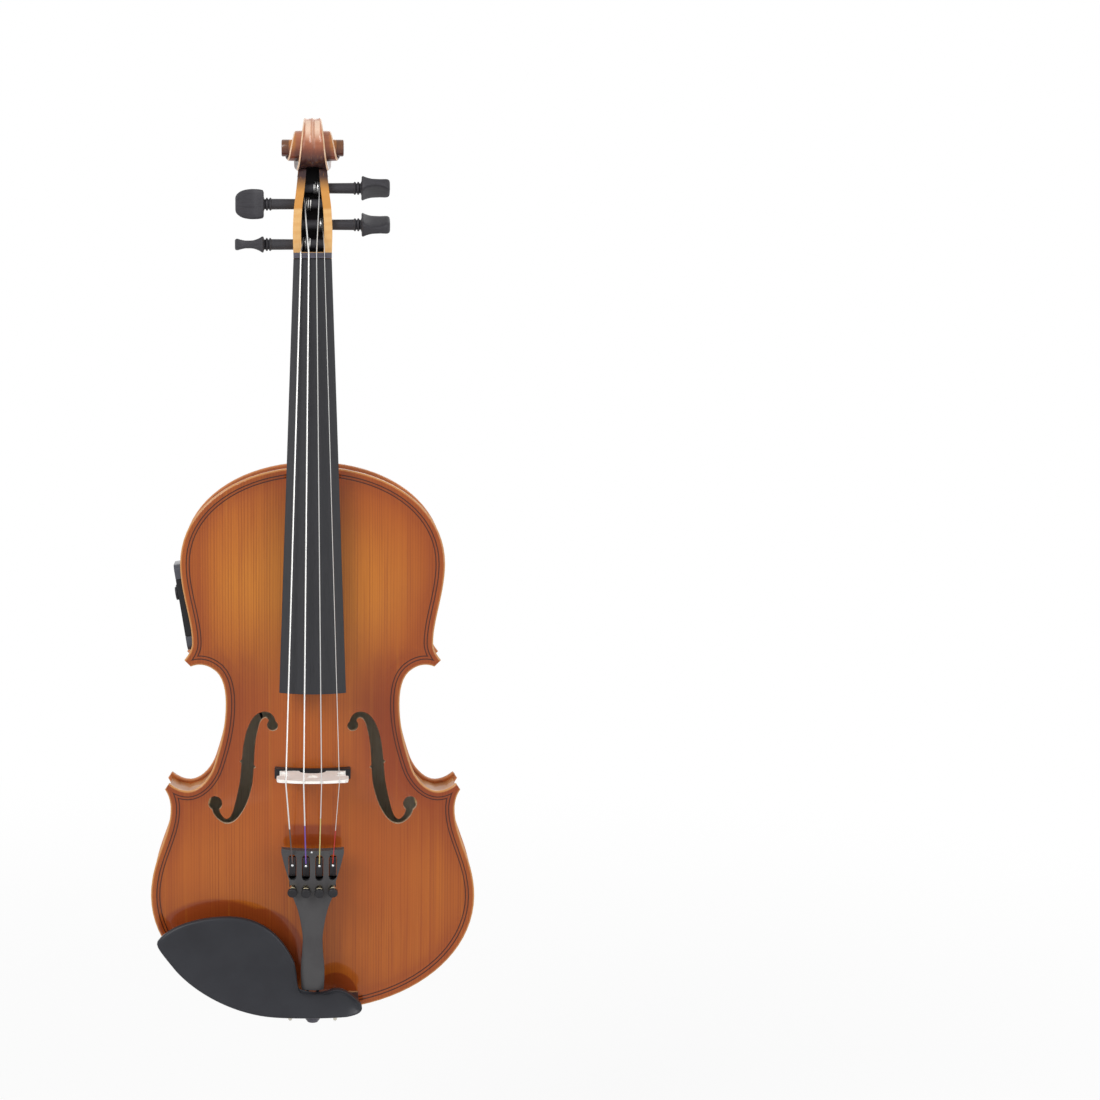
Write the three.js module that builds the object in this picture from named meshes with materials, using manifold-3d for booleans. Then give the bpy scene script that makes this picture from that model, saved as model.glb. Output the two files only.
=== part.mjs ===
// Electric violin: a full-size violin with a pickup bar under the bridge and a preamp in its bass side.
// Millimetres. +Z runs from the tail to the scroll, the belly faces -Y and the treble side is +X.
// The origin is the point between the scroll's ears where the instrument hangs.
import * as THREE from 'three';
import { mergeVertices } from 'three/addons/utils/BufferGeometryUtils.js';
import Module from 'manifold-3d';

// Clearances and overruns
const seatGap = 0.3;
const overrun = 12;
const weldStep = 0.001;

// Body outline
const bodyLength = 356;
const lowerBoutWidth = 209.8;
const lowerCornerWidth = 190.6;
const waistWidth = 111.6;
const upperCornerWidth = 164.2;
const upperBoutWidth = 168.8;
const edgeOverhang = 2.9;

// Plates
const edgeThickness = 4;
const edgeRound = 1;
const channelInset = 6.5;
const channelDrop = 1;
const archInset = 13;
const bellyRise = 12;
const backRise = 11.5;
const bellyThickness = 3;
const backThickness = 3.6;
const buttonWidth = 21;
const buttonReach = 11;

// Ribs, blocks and linings
const ribHeight = 30;
const ribThickness = 1.2;
const liningWidth = 2.1;
const liningDepth = 7.5;
const blockDepth = 16;
const topBlockWidth = 52;
const bottomBlockWidth = 48;
const cornerBlockReach = 24;

// Sound holes
const soundHoleWidth = 6.4;
const soundHoleTipWidth = 2.3;
const upperEyeRadius = 3.2;
const lowerEyeRadius = 4.1;
const soundHoleNick = 1.6;

// Inner fittings
const bassBarLength = 268;
const bassBarWidth = 5.5;
const bassBarDepth = 12;
const bassBarOffset = 17;
const postRadius = 3.1;
const postOffset = 19.5;
const postBehindBridge = 5;

// Neck
const neckLength = 131;
const neckSetHeight = 27.4;
const neckSlopeShare = 0.103;
const neckDepthAtNut = 12.8;
const neckDepthAtHeel = 14.4;
const neckFootDepth = 6;
const heelRun = 34;

// Fingerboard and nut
const boardLength = 271;
const boardNutWidth = 24;
const boardEndWidth = 42;
const boardEdgeThickness = 4.8;
const boardRadius = 42;
const nutThickness = 3.8;
const nutRise = 0.9;

// Pegbox
const pegboxLength = 56;
const pegboxWidth = 25;
const pegboxTopWidth = 19.4;
const cheekThickness = 5.4;
const pegboxDepth = 24;
const pegboxLeanShare = 0.32;
const pegboxFloor = 5;

// Scroll
const scrollHeight = 69.5;
const scrollRadius = 19;
const scrollSetback = 21.5;
const scrollTurnShare = 0.562;
const eyeWidth = 39.4;
const scrollFlute = 1.1;
const scrollStepDrop = 1.4;

// Pegs
const pegHeights = { G: 8.6, E: 21, D: 34, A: 44 };
const pegTipRadius = 3.1;
const pegRadius = 3.4;
const pegTipReach = 1.4;
const pegShaftReach = 26;
const pegCollarRadius = 4.2;
const pegCollarLength = 5;
const pegHeadLength = 18;
const pegHeadWidth = 19;
const pegHeadBase = 10.5;

// Strings
const nutStringSpan = 14.9;
const bridgeStringSpan = 33.4;
const tailStringSpan = 25.6;
const stringDiameters = { G: 0.9, D: 0.85, A: 0.75, E: 0.5 };
const windingGap = 0.5;
const windingTurns = 3;

// Bridge and pickup bar
const bridgeHeight = 30;
const bridgeWidth = 45.4;
const bridgeFootWidth = 42;
const bridgeFootThickness = 4.4;
const bridgeTopThickness = 1.6;
const bridgeStationShare = 0.45225;
const bridgeStation = bridgeStationShare * bodyLength;
const bridgeCrownRadius = 42;
const pickupLength = 48.5;
const pickupWidth = 6.4;
const pickupHeight = 3;
const leadRadius = 0.8;

// Tailpiece, tuners, saddle and end button
const tailpieceStation = 19.8;
const tailpieceLength = 95;
const tailpieceHeadWidth = 41;
const tailpieceHeadHeight = 50;
const tailpieceTailHeight = 38;
const tailpieceThickness = 7;
const tailpieceCrown = 4;
const tunerSlotLength = 15;
const tunerSlotWidth = 3.6;
const tunerSlotInset = 5;
const tunerLeverThickness = 1.8;
const tunerLeverDrop = 2.4;
const tunerScrewRadius = 1.4;
const tunerKnobRadius = 3.7;
const tunerKnobLength = 4.2;
const tunerKnobStand = 5;
const tunerTilt = Math.PI / 9;
const saddleWidth = 36;
const saddleDepth = 6.8;
const saddleRise = 8.5;
const endButtonRadius = 6.4;
const endButtonNeckRadius = 3.9;
const endButtonLength = 10;
const tailgutRadius = 0.9;

// Chinrest
const chinrestReach = 100;
const chinrestHeight = 69;
const chinrestThickness = 5;
const chinrestLevel = 41;
const chinrestDish = 3;
const lugSpacing = 50;
const clampSpacing = 29;
const clampRodRadius = 1.3;
const clampBarrelRadius = 2.5;
const clampBarrelLength = 24;
const clampFootWidth = 9;
const clampFootDepth = 9;
const clampPlateThickness = 1.6;
const corkThickness = 2.4;

// Preamp
const preampStationShare = 0.743;
const preampStation = preampStationShare * bodyLength;
const preampReach = 4.35;
const preampLength = 56;
const preampWidth = 25.6;
const preampStand = 6.5;
const preampLeanShare = 0.162;
const preampCapLength = 9.2;
const preampWall = 1.1;
const preampDepth = 26;
const knobRadius = 4.3;
const knobStand = 2;
const knobSpacing = 11.4;
const knobStation = 9;
const knobShaftRadius = 1.5;
const cellRadius = 10;
const cellThickness = 3.2;
const drawerThickness = 5.2;
const boardThickness = 1.6;
const jackRadius = 3.9;
const jackBore = 3.25;

const wasm = await Module();
wasm.setup();

// Welds a geometry down to shared positions and drops the triangles that this flattens.
function welded(geometry) {
  geometry.deleteAttribute('normal');
  geometry.deleteAttribute('uv');
  const merged = mergeVertices(geometry, weldStep);
  const index = merged.index.array;
  const kept = [];
  for (let i = 0; i < index.length; i += 3) {
    const [a, b, c] = [index[i], index[i + 1], index[i + 2]];
    if (a !== b && b !== c && c !== a) kept.push(a, b, c);
  }
  merged.setIndex(kept);
  return merged;
}

function signedVolume(geometry) {
  const index = geometry.index.array;
  const position = geometry.attributes.position;
  const [a, b, c] = [new THREE.Vector3(), new THREE.Vector3(), new THREE.Vector3()];
  let sum = 0;
  for (let i = 0; i < index.length; i += 3) {
    a.fromBufferAttribute(position, index[i]);
    b.fromBufferAttribute(position, index[i + 1]);
    c.fromBufferAttribute(position, index[i + 2]);
    sum += a.dot(b.cross(c)) / 6;
  }
  return sum;
}

function facingOut(geometry) {
  const shape = welded(geometry);
  if (signedVolume(shape) < 0) shape.setIndex(Array.from(shape.index.array).reverse());
  return shape;
}

function solidOf(geometry) {
  const shape = facingOut(geometry.clone());
  const vertProperties = new Float32Array(shape.attributes.position.array);
  const triVerts = new Uint32Array(shape.index.array);
  return new wasm.Manifold(new wasm.Mesh({ numProp: 3, vertProperties, triVerts }));
}

function geometryOf(solid) {
  const mesh = solid.getMesh();
  const geometry = new THREE.BufferGeometry();
  geometry.setAttribute('position', new THREE.BufferAttribute(mesh.vertProperties, 3));
  geometry.setIndex(Array.from(mesh.triVerts));
  return geometry;
}

function cut(geometry, ...tools) {
  return geometryOf(tools.reduce((left, tool) => left.subtract(solidOf(tool)), solidOf(geometry)));
}

function joined(geometry, ...others) {
  return geometryOf(others.reduce((whole, other) => whole.add(solidOf(other)), solidOf(geometry)));
}

function common(geometry, other) {
  return geometryOf(solidOf(geometry).intersect(solidOf(other)));
}

// Closes a stack of rings of equal count into one body. A first or last ring drawn in to a point
// or a line closes that end, and other ends are handed over as ready triangles.
function skin(rings, endFaces = []) {
  const count = rings[0].length;
  const positions = rings.flat().flatMap((point) => [point.x, point.y, point.z]);
  const index = [...endFaces];
  for (let ring = 0; ring < rings.length - 1; ring += 1) {
    for (let i = 0; i < count; i += 1) {
      const a = ring * count + i;
      const b = ring * count + ((i + 1) % count);
      index.push(a, b, a + count, b, b + count, a + count);
    }
  }
  const geometry = new THREE.BufferGeometry();
  geometry.setAttribute('position', new THREE.Float32BufferAttribute(positions, 3));
  geometry.setIndex(index);
  return facingOut(geometry);
}

function middleOf(ring) {
  const sum = ring.reduce((total, point) => total.add(point), new THREE.Vector3());
  return sum.divideScalar(ring.length);
}

// A skin whose two end sections are closed flat.
function loft(rings) {
  const close = (ring) => ring.map(() => middleOf(ring));
  return skin([close(rings[0]), ...rings, close(rings[rings.length - 1])]);
}

// A skin whose two end rings lie level and are filled in plan.
function filledSkin(rings) {
  const fill = (ring) => {
    const plan = ring.map(({ x, z }) => new THREE.Vector2(x, z));
    const faces = THREE.ShapeUtils.triangulateShape(plan, []);
    return THREE.ShapeUtils.area(plan) > 0 ? faces : faces.map((face) => [...face].reverse());
  };
  const last = (rings.length - 1) * rings[0].length;
  const lowEnd = fill(rings[0]).flatMap((face) => [...face].reverse());
  const highEnd = fill(rings[rings.length - 1]).flatMap((face) => face.map((corner) => corner + last));
  return skin(rings, [...lowEnd, ...highEnd]);
}

function extruded(points, depth) {
  return new THREE.ExtrudeGeometry(new THREE.Shape(points), { depth, bevelEnabled: false });
}

// A slab whose plan is drawn in X and Z and which fills Y between two levels.
function slab(points, fromY, toY) {
  return extruded(points, toY - fromY).rotateX(Math.PI / 2).translate(0, toY, 0);
}

// A rail whose side view is drawn in Y and Z and which fills X between two places.
function rail(points, fromX, toX) {
  const turn = new THREE.Matrix4().makeBasis(
    new THREE.Vector3(0, 1, 0), new THREE.Vector3(0, 0, 1), new THREE.Vector3(1, 0, 0),
  );
  return extruded(points, toX - fromX).applyMatrix4(turn).translate(fromX, 0, 0);
}

function block(fromX, toX, fromY, toY, fromZ, toZ) {
  return new THREE.BoxGeometry(toX - fromX, toY - fromY, toZ - fromZ)
    .translate((fromX + toX) / 2, (fromY + toY) / 2, (fromZ + toZ) / 2);
}

// A turned form about Z from pairs of radius and height.
function turned(profile, sides) {
  const points = profile.map(([radius, height]) => new THREE.Vector2(radius, height));
  return new THREE.LatheGeometry(points, sides).rotateX(Math.PI / 2);
}

function rod(radius, from, to, sides) {
  const span = to.clone().sub(from);
  const heading = span.clone().normalize();
  const turn = new THREE.Quaternion().setFromUnitVectors(new THREE.Vector3(0, 0, 1), heading);
  return turned([[0, 0], [radius, 0], [radius, span.length()], [0, span.length()]], sides)
    .applyQuaternion(turn).translate(from.x, from.y, from.z);
}

// A path that an extrusion follows station by station.
class StationCurve extends THREE.Curve {
  constructor(stations) {
    super();
    this.stations = stations;
  }

  at(u) {
    return Math.round(u * (this.stations.length - 1));
  }

  getPointAt(u) {
    return this.stations[this.at(u)].clone();
  }

  getTangentAt(u) {
    const here = this.at(u);
    const before = this.stations[Math.max(here - 1, 0)];
    const after = this.stations[Math.min(here + 1, this.stations.length - 1)];
    return after.clone().sub(before).normalize();
  }
}

function tube(stations, radius, sides) {
  const section = Array.from({ length: sides }, (_, i) => {
    const angle = (2 * Math.PI * i) / sides;
    return new THREE.Vector2(radius * Math.cos(angle), radius * Math.sin(angle));
  });
  const extrudePath = new StationCurve(stations);
  return new THREE.ExtrudeGeometry(new THREE.Shape(section), { extrudePath, steps: stations.length - 1 });
}

function mix(from, to, share) {
  return from + (to - from) * share;
}

// Reads a table of [place share, value share] rows at any place.
function readShares(rows, place) {
  const next = rows.findIndex((row) => row[0] >= place);
  if (next === 0) return rows[0][1];
  if (next < 0) return rows[rows.length - 1][1];
  const [from, to] = [rows[next - 1], rows[next]];
  return mix(from[1], to[1], (place - from[0]) / (to[0] - from[0]));
}

// Body outline: each bout is a chain of Bezier curves on the +X side, written as the width that a point
// follows, its share of that half width and its share of the body length.
const halfWidths = {
  lower: lowerBoutWidth / 2,
  lowerCorner: lowerCornerWidth / 2,
  waist: waistWidth / 2,
  upperCorner: upperCornerWidth / 2,
  upper: upperBoutWidth / 2,
};
const boutShares = {
  lower: [
    ['lower', 0, 0], ['lower', 0.553, 0], ['lower', 1, 0.093], ['lower', 1, 0.215],
    ['lower', 1, 0.284], ['lowerCorner', 0.955, 0.329], ['lowerCorner', 0.962, 0.3815],
    ['lowerCorner', 0.966, 0.396], ['lowerCorner', 0.981, 0.406], ['lowerCorner', 1, 0.413],
  ],
  waist: [
    ['lowerCorner', 0.9685, 0.4247], ['lowerCorner', 0.929, 0.4157], ['lowerCorner', 0.887, 0.4107],
    ['lowerCorner', 0.845, 0.4107], ['lowerCorner', 0.777, 0.4107], ['waist', 1.192, 0.431],
    ['waist', 1.136, 0.458], ['waist', 1.057, 0.496], ['waist', 1, 0.531], ['waist', 1, 0.572],
    ['waist', 1, 0.601], ['waist', 1.039, 0.625], ['waist', 1.15, 0.635],
    ['upperCorner', 0.84, 0.644], ['upperCorner', 0.901, 0.644], ['upperCorner', 0.95, 0.639],
  ],
  upper: [
    ['upperCorner', 1, 0.651], ['upperCorner', 0.968, 0.66], ['upperCorner', 0.939, 0.671],
    ['upperCorner', 0.939, 0.682], ['upperCorner', 0.939, 0.725], ['upper', 1, 0.7725],
    ['upper', 1, 0.825], ['upper', 1, 0.927], ['upper', 0.569, 1], ['upper', 0, 1],
  ],
};
const boutSteps = { lower: [7, 4, 2], waist: [2, 3, 3, 2, 3], upper: [2, 4, 7] };

function boutRun(name) {
  const points = boutShares[name].map(([width, across, along]) => (
    new THREE.Vector2(halfWidths[width] * across, bodyLength * along)
  ));
  const run = [points[0]];
  boutSteps[name].forEach((steps, piece) => {
    const curve = new THREE.CubicBezierCurve(...points.slice(3 * piece, 3 * piece + 4));
    run.push(...curve.getPoints(steps).slice(1));
  });
  return run;
}

// Moves a run inwards. The body lies on the left of every run, which climbs the +X side.
function insetRun(run, inset) {
  return run.map((point, i) => {
    const along = run[Math.min(i + 1, run.length - 1)].clone().sub(run[Math.max(i - 1, 0)]).normalize();
    const moved = new THREE.Vector2(point.x - along.y * inset, point.y + along.x * inset);
    if (point.x === 0) moved.x = 0;
    return moved;
  });
}

function crossingOf(a, b, c, d) {
  const [ab, cd, ac] = [b.clone().sub(a), d.clone().sub(c), c.clone().sub(a)];
  const span = ab.cross(cd);
  const [s, t] = [ac.cross(cd) / span, ac.cross(ab) / span];
  return s >= 0 && s <= 1 && t >= 0 && t <= 1 ? a.clone().addScaledVector(ab, s) : null;
}

// Mitres two runs that meet at a corner: what lies past their crossing is drawn in to it.
function mitre(first, second) {
  for (let i = first.length - 1; i > 0; i -= 1) {
    for (let j = 0; j < second.length - 1; j += 1) {
      const meeting = crossingOf(first[i - 1], first[i], second[j], second[j + 1]);
      if (meeting) {
        return [
          first.map((point, k) => (k >= i ? meeting : point)),
          second.map((point, k) => (k <= j ? meeting : point)),
        ];
      }
    }
  }
  return [first, second];
}

// The three bouts of the +X side at one inset from the plates' edge, mitred at the corners.
function insetBouts(inset) {
  let [lower, waist, upper] = ['lower', 'waist', 'upper'].map((name) => insetRun(boutRun(name), inset));
  [lower, waist] = mitre(lower, waist);
  [waist, upper] = mitre(waist, upper);
  return { lower, waist, upper };
}

function mirrored(run) {
  return run.map((point) => new THREE.Vector2(-point.x, point.y)).reverse();
}

// The whole outline at one inset, as a closed ring of points with an equal count at any inset.
function outlineRing(inset) {
  const { lower, waist, upper } = insetBouts(inset);
  const side = [...lower, ...waist, ...upper];
  return [...side, ...mirrored(side).slice(1, -1)];
}

function distinct(points) {
  return points.filter((point, i) => point.distanceTo(points[(i + 1) % points.length]) > weldStep);
}

function outlineSlab(inset, fromY, toY) {
  return slab(distinct(outlineRing(inset)), fromY, toY);
}

// Arching: from the channel a plate climbs to a spine on its centre line, as a cycloid across the
// plate and more fully towards its two ends.
const archRing = outlineRing(archInset);
const archCorners = insetBouts(archInset);
const spineLow = archCorners.waist[0].y;
const spineHigh = archCorners.upper[0].y;
const archStepShares = [0.2, 0.44, 0.72, 1];
const hollowStepShares = [0.3, 0.65, 1];
const fullEndShare = 0.75;

function archPoint(i, share) {
  const from = archRing[i];
  const spine = new THREE.Vector2(0, THREE.MathUtils.clamp(from.y, spineLow, spineHigh));
  return from.clone().lerp(spine, share);
}

function archShare(i, share) {
  const reach = archRing[i].clone().sub(archPoint(i, 1));
  const endwise = fullEndShare * Math.abs(reach.y) / reach.length();
  const across = 0.5 - 0.5 * Math.cos(Math.PI * share);
  const full = Math.sin((Math.PI / 2) * share);
  return mix(across, full, endwise);
}

const plates = {
  belly: { side: -1, rise: bellyRise, thickness: bellyThickness },
  back: { side: 1, rise: backRise, thickness: backThickness },
};
const seatLevel = ribHeight / 2;
const edgeLevel = seatLevel + edgeThickness;

function levelled(points, level) {
  return points.map((point) => new THREE.Vector3(point.x, level, point.y));
}

// Rings of a plate's outer face from its edge to its spine, raised by a lift.
function outerRings({ side, rise }, lift) {
  const low = edgeLevel - channelDrop;
  const rings = [
    levelled(outlineRing(0), side * (edgeLevel - edgeRound + lift)),
    levelled(outlineRing(edgeRound), side * (edgeLevel + lift)),
    levelled(outlineRing(channelInset), side * (low + lift)),
    levelled(archRing, side * (low + channelDrop + lift)),
  ];
  const climb = edgeLevel + rise - low - channelDrop;
  return [...rings, ...archStepShares.map((share) => archRing.map((_, i) => {
    const point = archPoint(i, share);
    const level = low + channelDrop + climb * archShare(i, share) + lift;
    return new THREE.Vector3(point.x, side * level, point.y);
  }))];
}

// Rings of a plate's inner face from its edge to its spine, sunk inwards by a lift.
function innerRings({ side, rise, thickness }, lift) {
  const flat = seatLevel - lift;
  const climb = edgeLevel + rise - thickness - seatLevel;
  const rings = [
    levelled(outlineRing(0), side * flat),
    levelled(archRing, side * flat),
  ];
  return [...rings, ...hollowStepShares.map((share) => archRing.map((_, i) => {
    const point = archPoint(i, share);
    return new THREE.Vector3(point.x, side * (flat + climb * archShare(i, share)), point.y);
  }))];
}

function plateSolid(plate) {
  return skin([...innerRings(plate, 0).reverse(), ...outerRings(plate, 0)]);
}

// What lies under a plate's outer face, down to the middle of the body.
function underPlate(plate, lift) {
  const floor = outerRings(plate, lift).reverse().map((ring) => (
    ring.map((point) => new THREE.Vector3(point.x, 0, point.z))
  ));
  return skin([...floor, ...outerRings(plate, lift)]);
}

// The air between the two plates, less a gap to each.
function airBetween(gap) {
  return skin([
    ...innerRings(plates.belly, gap).slice(1).reverse(),
    ...innerRings(plates.back, gap).slice(1),
  ]);
}

// Height of the belly's outer face on the centre line inside the spine.
const bellyTop = edgeLevel + bellyRise;

// Neck and fingerboard levels
const nutStation = bodyLength + neckLength;
const pegboxTop = nutStation + pegboxLength;

function glueLevel(z) {
  return -(neckSetHeight + neckSlopeShare * (bodyLength - z));
}

function boardHalf(z) {
  return mix(boardNutWidth, boardEndWidth, (nutStation - z) / boardLength) / 2;
}

function arcDrop(radius, x) {
  return radius - Math.sqrt(radius * radius - x * x);
}

function boardSurface(x, z) {
  const crown = arcDrop(boardRadius, boardHalf(z)) - arcDrop(boardRadius, x);
  return glueLevel(z) - seatGap - boardEdgeThickness - crown;
}

// A section across the neck: flat on top, with a bottom that runs from round to square.
const sectionSteps = 8;

function neckSection(z, { half, footShare, depth, squareShare, top }) {
  return Array.from({ length: sectionSteps + 1 }, (_, i) => {
    const angle = (Math.PI * i) / sectionSteps;
    const across = Math.sign(Math.cos(angle)) * Math.abs(Math.cos(angle)) ** squareShare;
    const down = Math.max(Math.sin(angle), 0) ** squareShare;
    return new THREE.Vector3(half * across * mix(1, footShare, down), top + depth * down, z);
  });
}

// How far the heel keeps its full depth, as shares of the heel's run above the body.
const heelShares = [[0, 1], [0.31, 1], [0.37, 0.74], [0.46, 0.44], [0.6, 0.19], [0.8, 0.05], [1, 0]];
const heelSquareShare = 0.3;
const shaftSquareShare = 0.82;

function neckForm(z) {
  const along = (z - bodyLength) / heelRun;
  const heel = readShares(heelShares, Math.max(along, 0));
  const towardsNut = THREE.MathUtils.clamp((z - bodyLength) / neckLength, 0, 1);
  const shaft = mix(neckDepthAtHeel, neckDepthAtNut, towardsNut);
  const full = seatLevel - seatGap - glueLevel(z);
  const half = boardHalf(z);
  return {
    half,
    footShare: mix(1, buttonWidth / 2 / half, heel),
    depth: mix(shaft, full, heel),
    squareShare: mix(shaftSquareShare, heelSquareShare, heel),
    top: glueLevel(z),
  };
}

// Pegbox depth and width along its length, as shares of its full depth and its way to the top width.
const pegboxDepthShares = [
  [0, neckDepthAtNut / pegboxDepth], [0.05, 0.72], [0.12, 0.84], [0.25, 0.95], [0.4, 1], [1, 0.83],
];
const pegboxTaperShares = [[0, 0], [0.4, 0.05], [0.7, 0.4], [1, 1]];

function pegboxForm(z) {
  const along = (z - nutStation) / pegboxLength;
  const start = mix(boardNutWidth, pegboxWidth, Math.min(4 * along, 1));
  return {
    half: mix(start, pegboxTopWidth, readShares(pegboxTaperShares, along)) / 2,
    footShare: 1,
    depth: pegboxDepth * readShares(pegboxDepthShares, along),
    squareShare: mix(shaftSquareShare, heelSquareShare, Math.min(4 * along, 1)),
    top: glueLevel(nutStation) + pegboxLeanShare * (z - nutStation),
  };
}

const footStation = bodyLength - edgeOverhang - ribThickness - neckFootDepth;
const pegboxShares = [0.04, 0.09, 0.15, 0.22, 0.36, 0.55, 0.75, 1];
const slotStart = nutStation + nutThickness;
const slotEnd = pegboxTop - pegboxFloor;

function pegboxSlot() {
  return loft([0, 0.12, 0.3, 0.6, 0.85, 1].map((share) => {
    const z = mix(slotStart, slotEnd, share);
    const { half, depth, top } = pegboxForm(z);
    const [side, floor] = [half - cheekThickness, top + depth - pegboxFloor];
    return [[side, top - overrun], [side, floor], [-side, floor], [-side, top - overrun]]
      .map(([x, y]) => new THREE.Vector3(x, y, z));
  }));
}

// Scroll: a logarithmic spiral about the eye. Its rim is a ridge between two flutes, and each turn
// stands further out to the side than the last, with a wall up from the floor that the last one left.
const scrollCentre = new THREE.Vector3(0, glueLevel(nutStation) + scrollSetback, nutStation + scrollHeight);
const scrollStartTurn = -0.14;
const scrollTopTurn = 0.25;
const scrollTurns = 2;
const scrollSteps = 20;
const scrollWidthShares = [
  [0, 0.5], [0.39, 0.285], [0.64, 0.39], [0.89, 0.56], [1.39, 0.57], [1.7, 0.74], [2, 0.88],
];
const eyeRadiusShare = 0.28;

function scrollPoint(step, x, radiusChange) {
  const turn = step / scrollSteps;
  const angle = 2 * Math.PI * (scrollStartTurn + turn);
  const radius = scrollRadius * scrollTurnShare ** (scrollStartTurn + turn - scrollTopTurn) + radiusChange;
  return new THREE.Vector3(x, radius * Math.cos(angle), radius * Math.sin(angle)).add(scrollCentre);
}

function scrollHalf(step) {
  return (eyeWidth / 2) * readShares(scrollWidthShares, step / scrollSteps);
}

function scrollSolid() {
  const last = scrollTurns * scrollSteps;
  const positions = [];
  const face = (...corners) => {
    for (let i = 1; i < corners.length - 1; i += 1) {
      [corners[0], corners[i], corners[i + 1]].forEach((corner) => positions.push(...corner.toArray()));
    }
  };
  [1, -1].forEach((side) => {
    const facing = (...corners) => face(...(side > 0 ? corners : corners.reverse()));
    const top = (step) => scrollPoint(step, side * scrollHalf(step), 0);
    const foot = (step) => (
      scrollPoint(step, side * (scrollHalf(step - scrollSteps) - scrollStepDrop), seatGap)
    );
    const flute = (step) => scrollPoint(step, (side * scrollHalf(step)) / 2, -scrollFlute);
    const ridge = (step) => scrollPoint(step, 0, 0);
    const sunk = scrollHalf(last - scrollSteps) - 4 * scrollStepDrop;
    const pit = new THREE.Vector3(side * sunk, 0, 0).add(scrollCentre);
    for (let step = 0; step < last; step += 1) {
      const next = step + 1;
      if (step < scrollSteps) {
        facing(ridge(step), ridge(next), flute(next), flute(step));
        facing(flute(step), flute(next), top(next), top(step));
        facing(top(step), top(next), foot(next + scrollSteps), foot(step + scrollSteps));
      } else {
        facing(foot(step), foot(next), top(next), top(step));
        facing(top(step), top(next), pit);
      }
    }
    const turn = scrollSteps;
    facing(ridge(0), flute(0), flute(turn), ridge(turn));
    facing(flute(0), top(0), foot(turn));
    facing(flute(0), foot(turn), flute(turn));
    facing(foot(turn), top(turn), flute(turn));
    facing(foot(last), top(last - turn), pit, top(last));
  });
  const geometry = new THREE.BufferGeometry();
  geometry.setAttribute('position', new THREE.Float32BufferAttribute(positions, 3));
  const eye = rod(
    scrollRadius * eyeRadiusShare,
    scrollCentre.clone().setX(-eyeWidth / 2),
    scrollCentre.clone().setX(eyeWidth / 2),
    14,
  );
  return joined(geometry, eye);
}

function pegAxis(name) {
  const z = nutStation + pegHeights[name];
  const { depth, top } = pegboxForm(z);
  return new THREE.Vector3(0, top + (depth - pegboxFloor) / 2, z);
}

const pegSides = { G: -1, D: -1, A: 1, E: 1 };

function neckAndScroll() {
  const heel = heelShares.map(([along]) => bodyLength + along * heelRun);
  const neckStations = [footStation, ...heel];
  const rings = [
    ...neckStations.map((z) => neckSection(z, neckForm(z))),
    neckSection(nutStation, neckForm(nutStation)),
    ...pegboxShares
      .map((share) => mix(nutStation, pegboxTop, share))
      .map((z) => neckSection(z, pegboxForm(z))),
  ];
  const holes = Object.keys(pegSides).map((name) => {
    const axis = pegAxis(name);
    const radius = pegRadius + 1.5 * seatGap;
    return rod(radius, axis.clone().setX(-pegboxWidth), axis.clone().setX(pegboxWidth), 12);
  });
  return cut(joined(loft(rings), scrollSolid()), pegboxSlot(), ...holes);
}

// The room that the neck's foot takes in the belly, the upper ribs and the top block.
function neckMortise() {
  return loft([footStation - seatGap, bodyLength, bodyLength + overrun].map((z) => {
    const top = glueLevel(z);
    const half = (y) => seatGap + mix(boardHalf(z), buttonWidth / 2, (y - top) / (seatLevel - seatGap - top));
    const [high, low] = [top - overrun, seatLevel + overrun];
    return [[half(high), high], [half(low), low], [-half(low), low], [-half(high), high]]
      .map(([x, y]) => new THREE.Vector3(x, y, z));
  }));
}

// Sound holes: a swept slit between two round eyes, with a nick on each side at the bridge line.
const soundHoleShares = [
  [0.466, 0.524], [0.49, 0.545], [0.566, 0.5505], [0.68, 0.532], [0.747, 0.501], [0.762, 0.456],
  [0.789, 0.416], [0.87, 0.374], [0.98, 0.3555], [1.08, 0.364], [1.12, 0.385],
];
const soundHoleWidthShares = [[0, 0], [0.25, 0.35], [0.42, 1], [0.62, 1], [0.8, 0.25], [1, 0]];
const soundHoleSteps = 22;

function soundHoleTools(side) {
  const place = ([across, along]) => new THREE.Vector2(side * halfWidths.waist * across, bodyLength * along);
  const spine = new THREE.SplineCurve(soundHoleShares.map(place));
  const edge = (turn) => Array.from({ length: soundHoleSteps + 1 }, (_, i) => {
    const share = i / soundHoleSteps;
    const width = mix(soundHoleTipWidth, soundHoleWidth, readShares(soundHoleWidthShares, share));
    const along = spine.getTangentAt(share);
    const across = new THREE.Vector2(-along.y, along.x);
    return spine.getPointAt(share).addScaledVector(across, (turn * width) / 2);
  });
  const [fromY, toY] = [-bellyTop - overrun, 0];
  const slit = slab([...edge(1), ...edge(-1).reverse()], fromY, toY);
  const eye = (share, radius) => {
    const { x, y } = place(share);
    return rod(radius, new THREE.Vector3(x, fromY, y), new THREE.Vector3(x, toY, y), 14);
  };
  const nickAt = place([soundHoleShares[5][0], soundHoleShares[5][1]]);
  const reach = soundHoleWidth / 2 + soundHoleNick;
  const nick = slab([
    new THREE.Vector2(nickAt.x - reach, nickAt.y), new THREE.Vector2(nickAt.x, nickAt.y - soundHoleNick),
    new THREE.Vector2(nickAt.x + reach, nickAt.y), new THREE.Vector2(nickAt.x, nickAt.y + soundHoleNick),
  ], fromY, toY);
  return [
    slit,
    eye(soundHoleShares[0], upperEyeRadius),
    eye(soundHoleShares[soundHoleShares.length - 1], lowerEyeRadius),
    nick,
  ];
}

const pickupEnd = pickupLength / 2;
const leadHole = new THREE.Vector3(-pickupEnd + 2 * leadRadius + seatGap, -bellyTop, bridgeStation);

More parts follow.
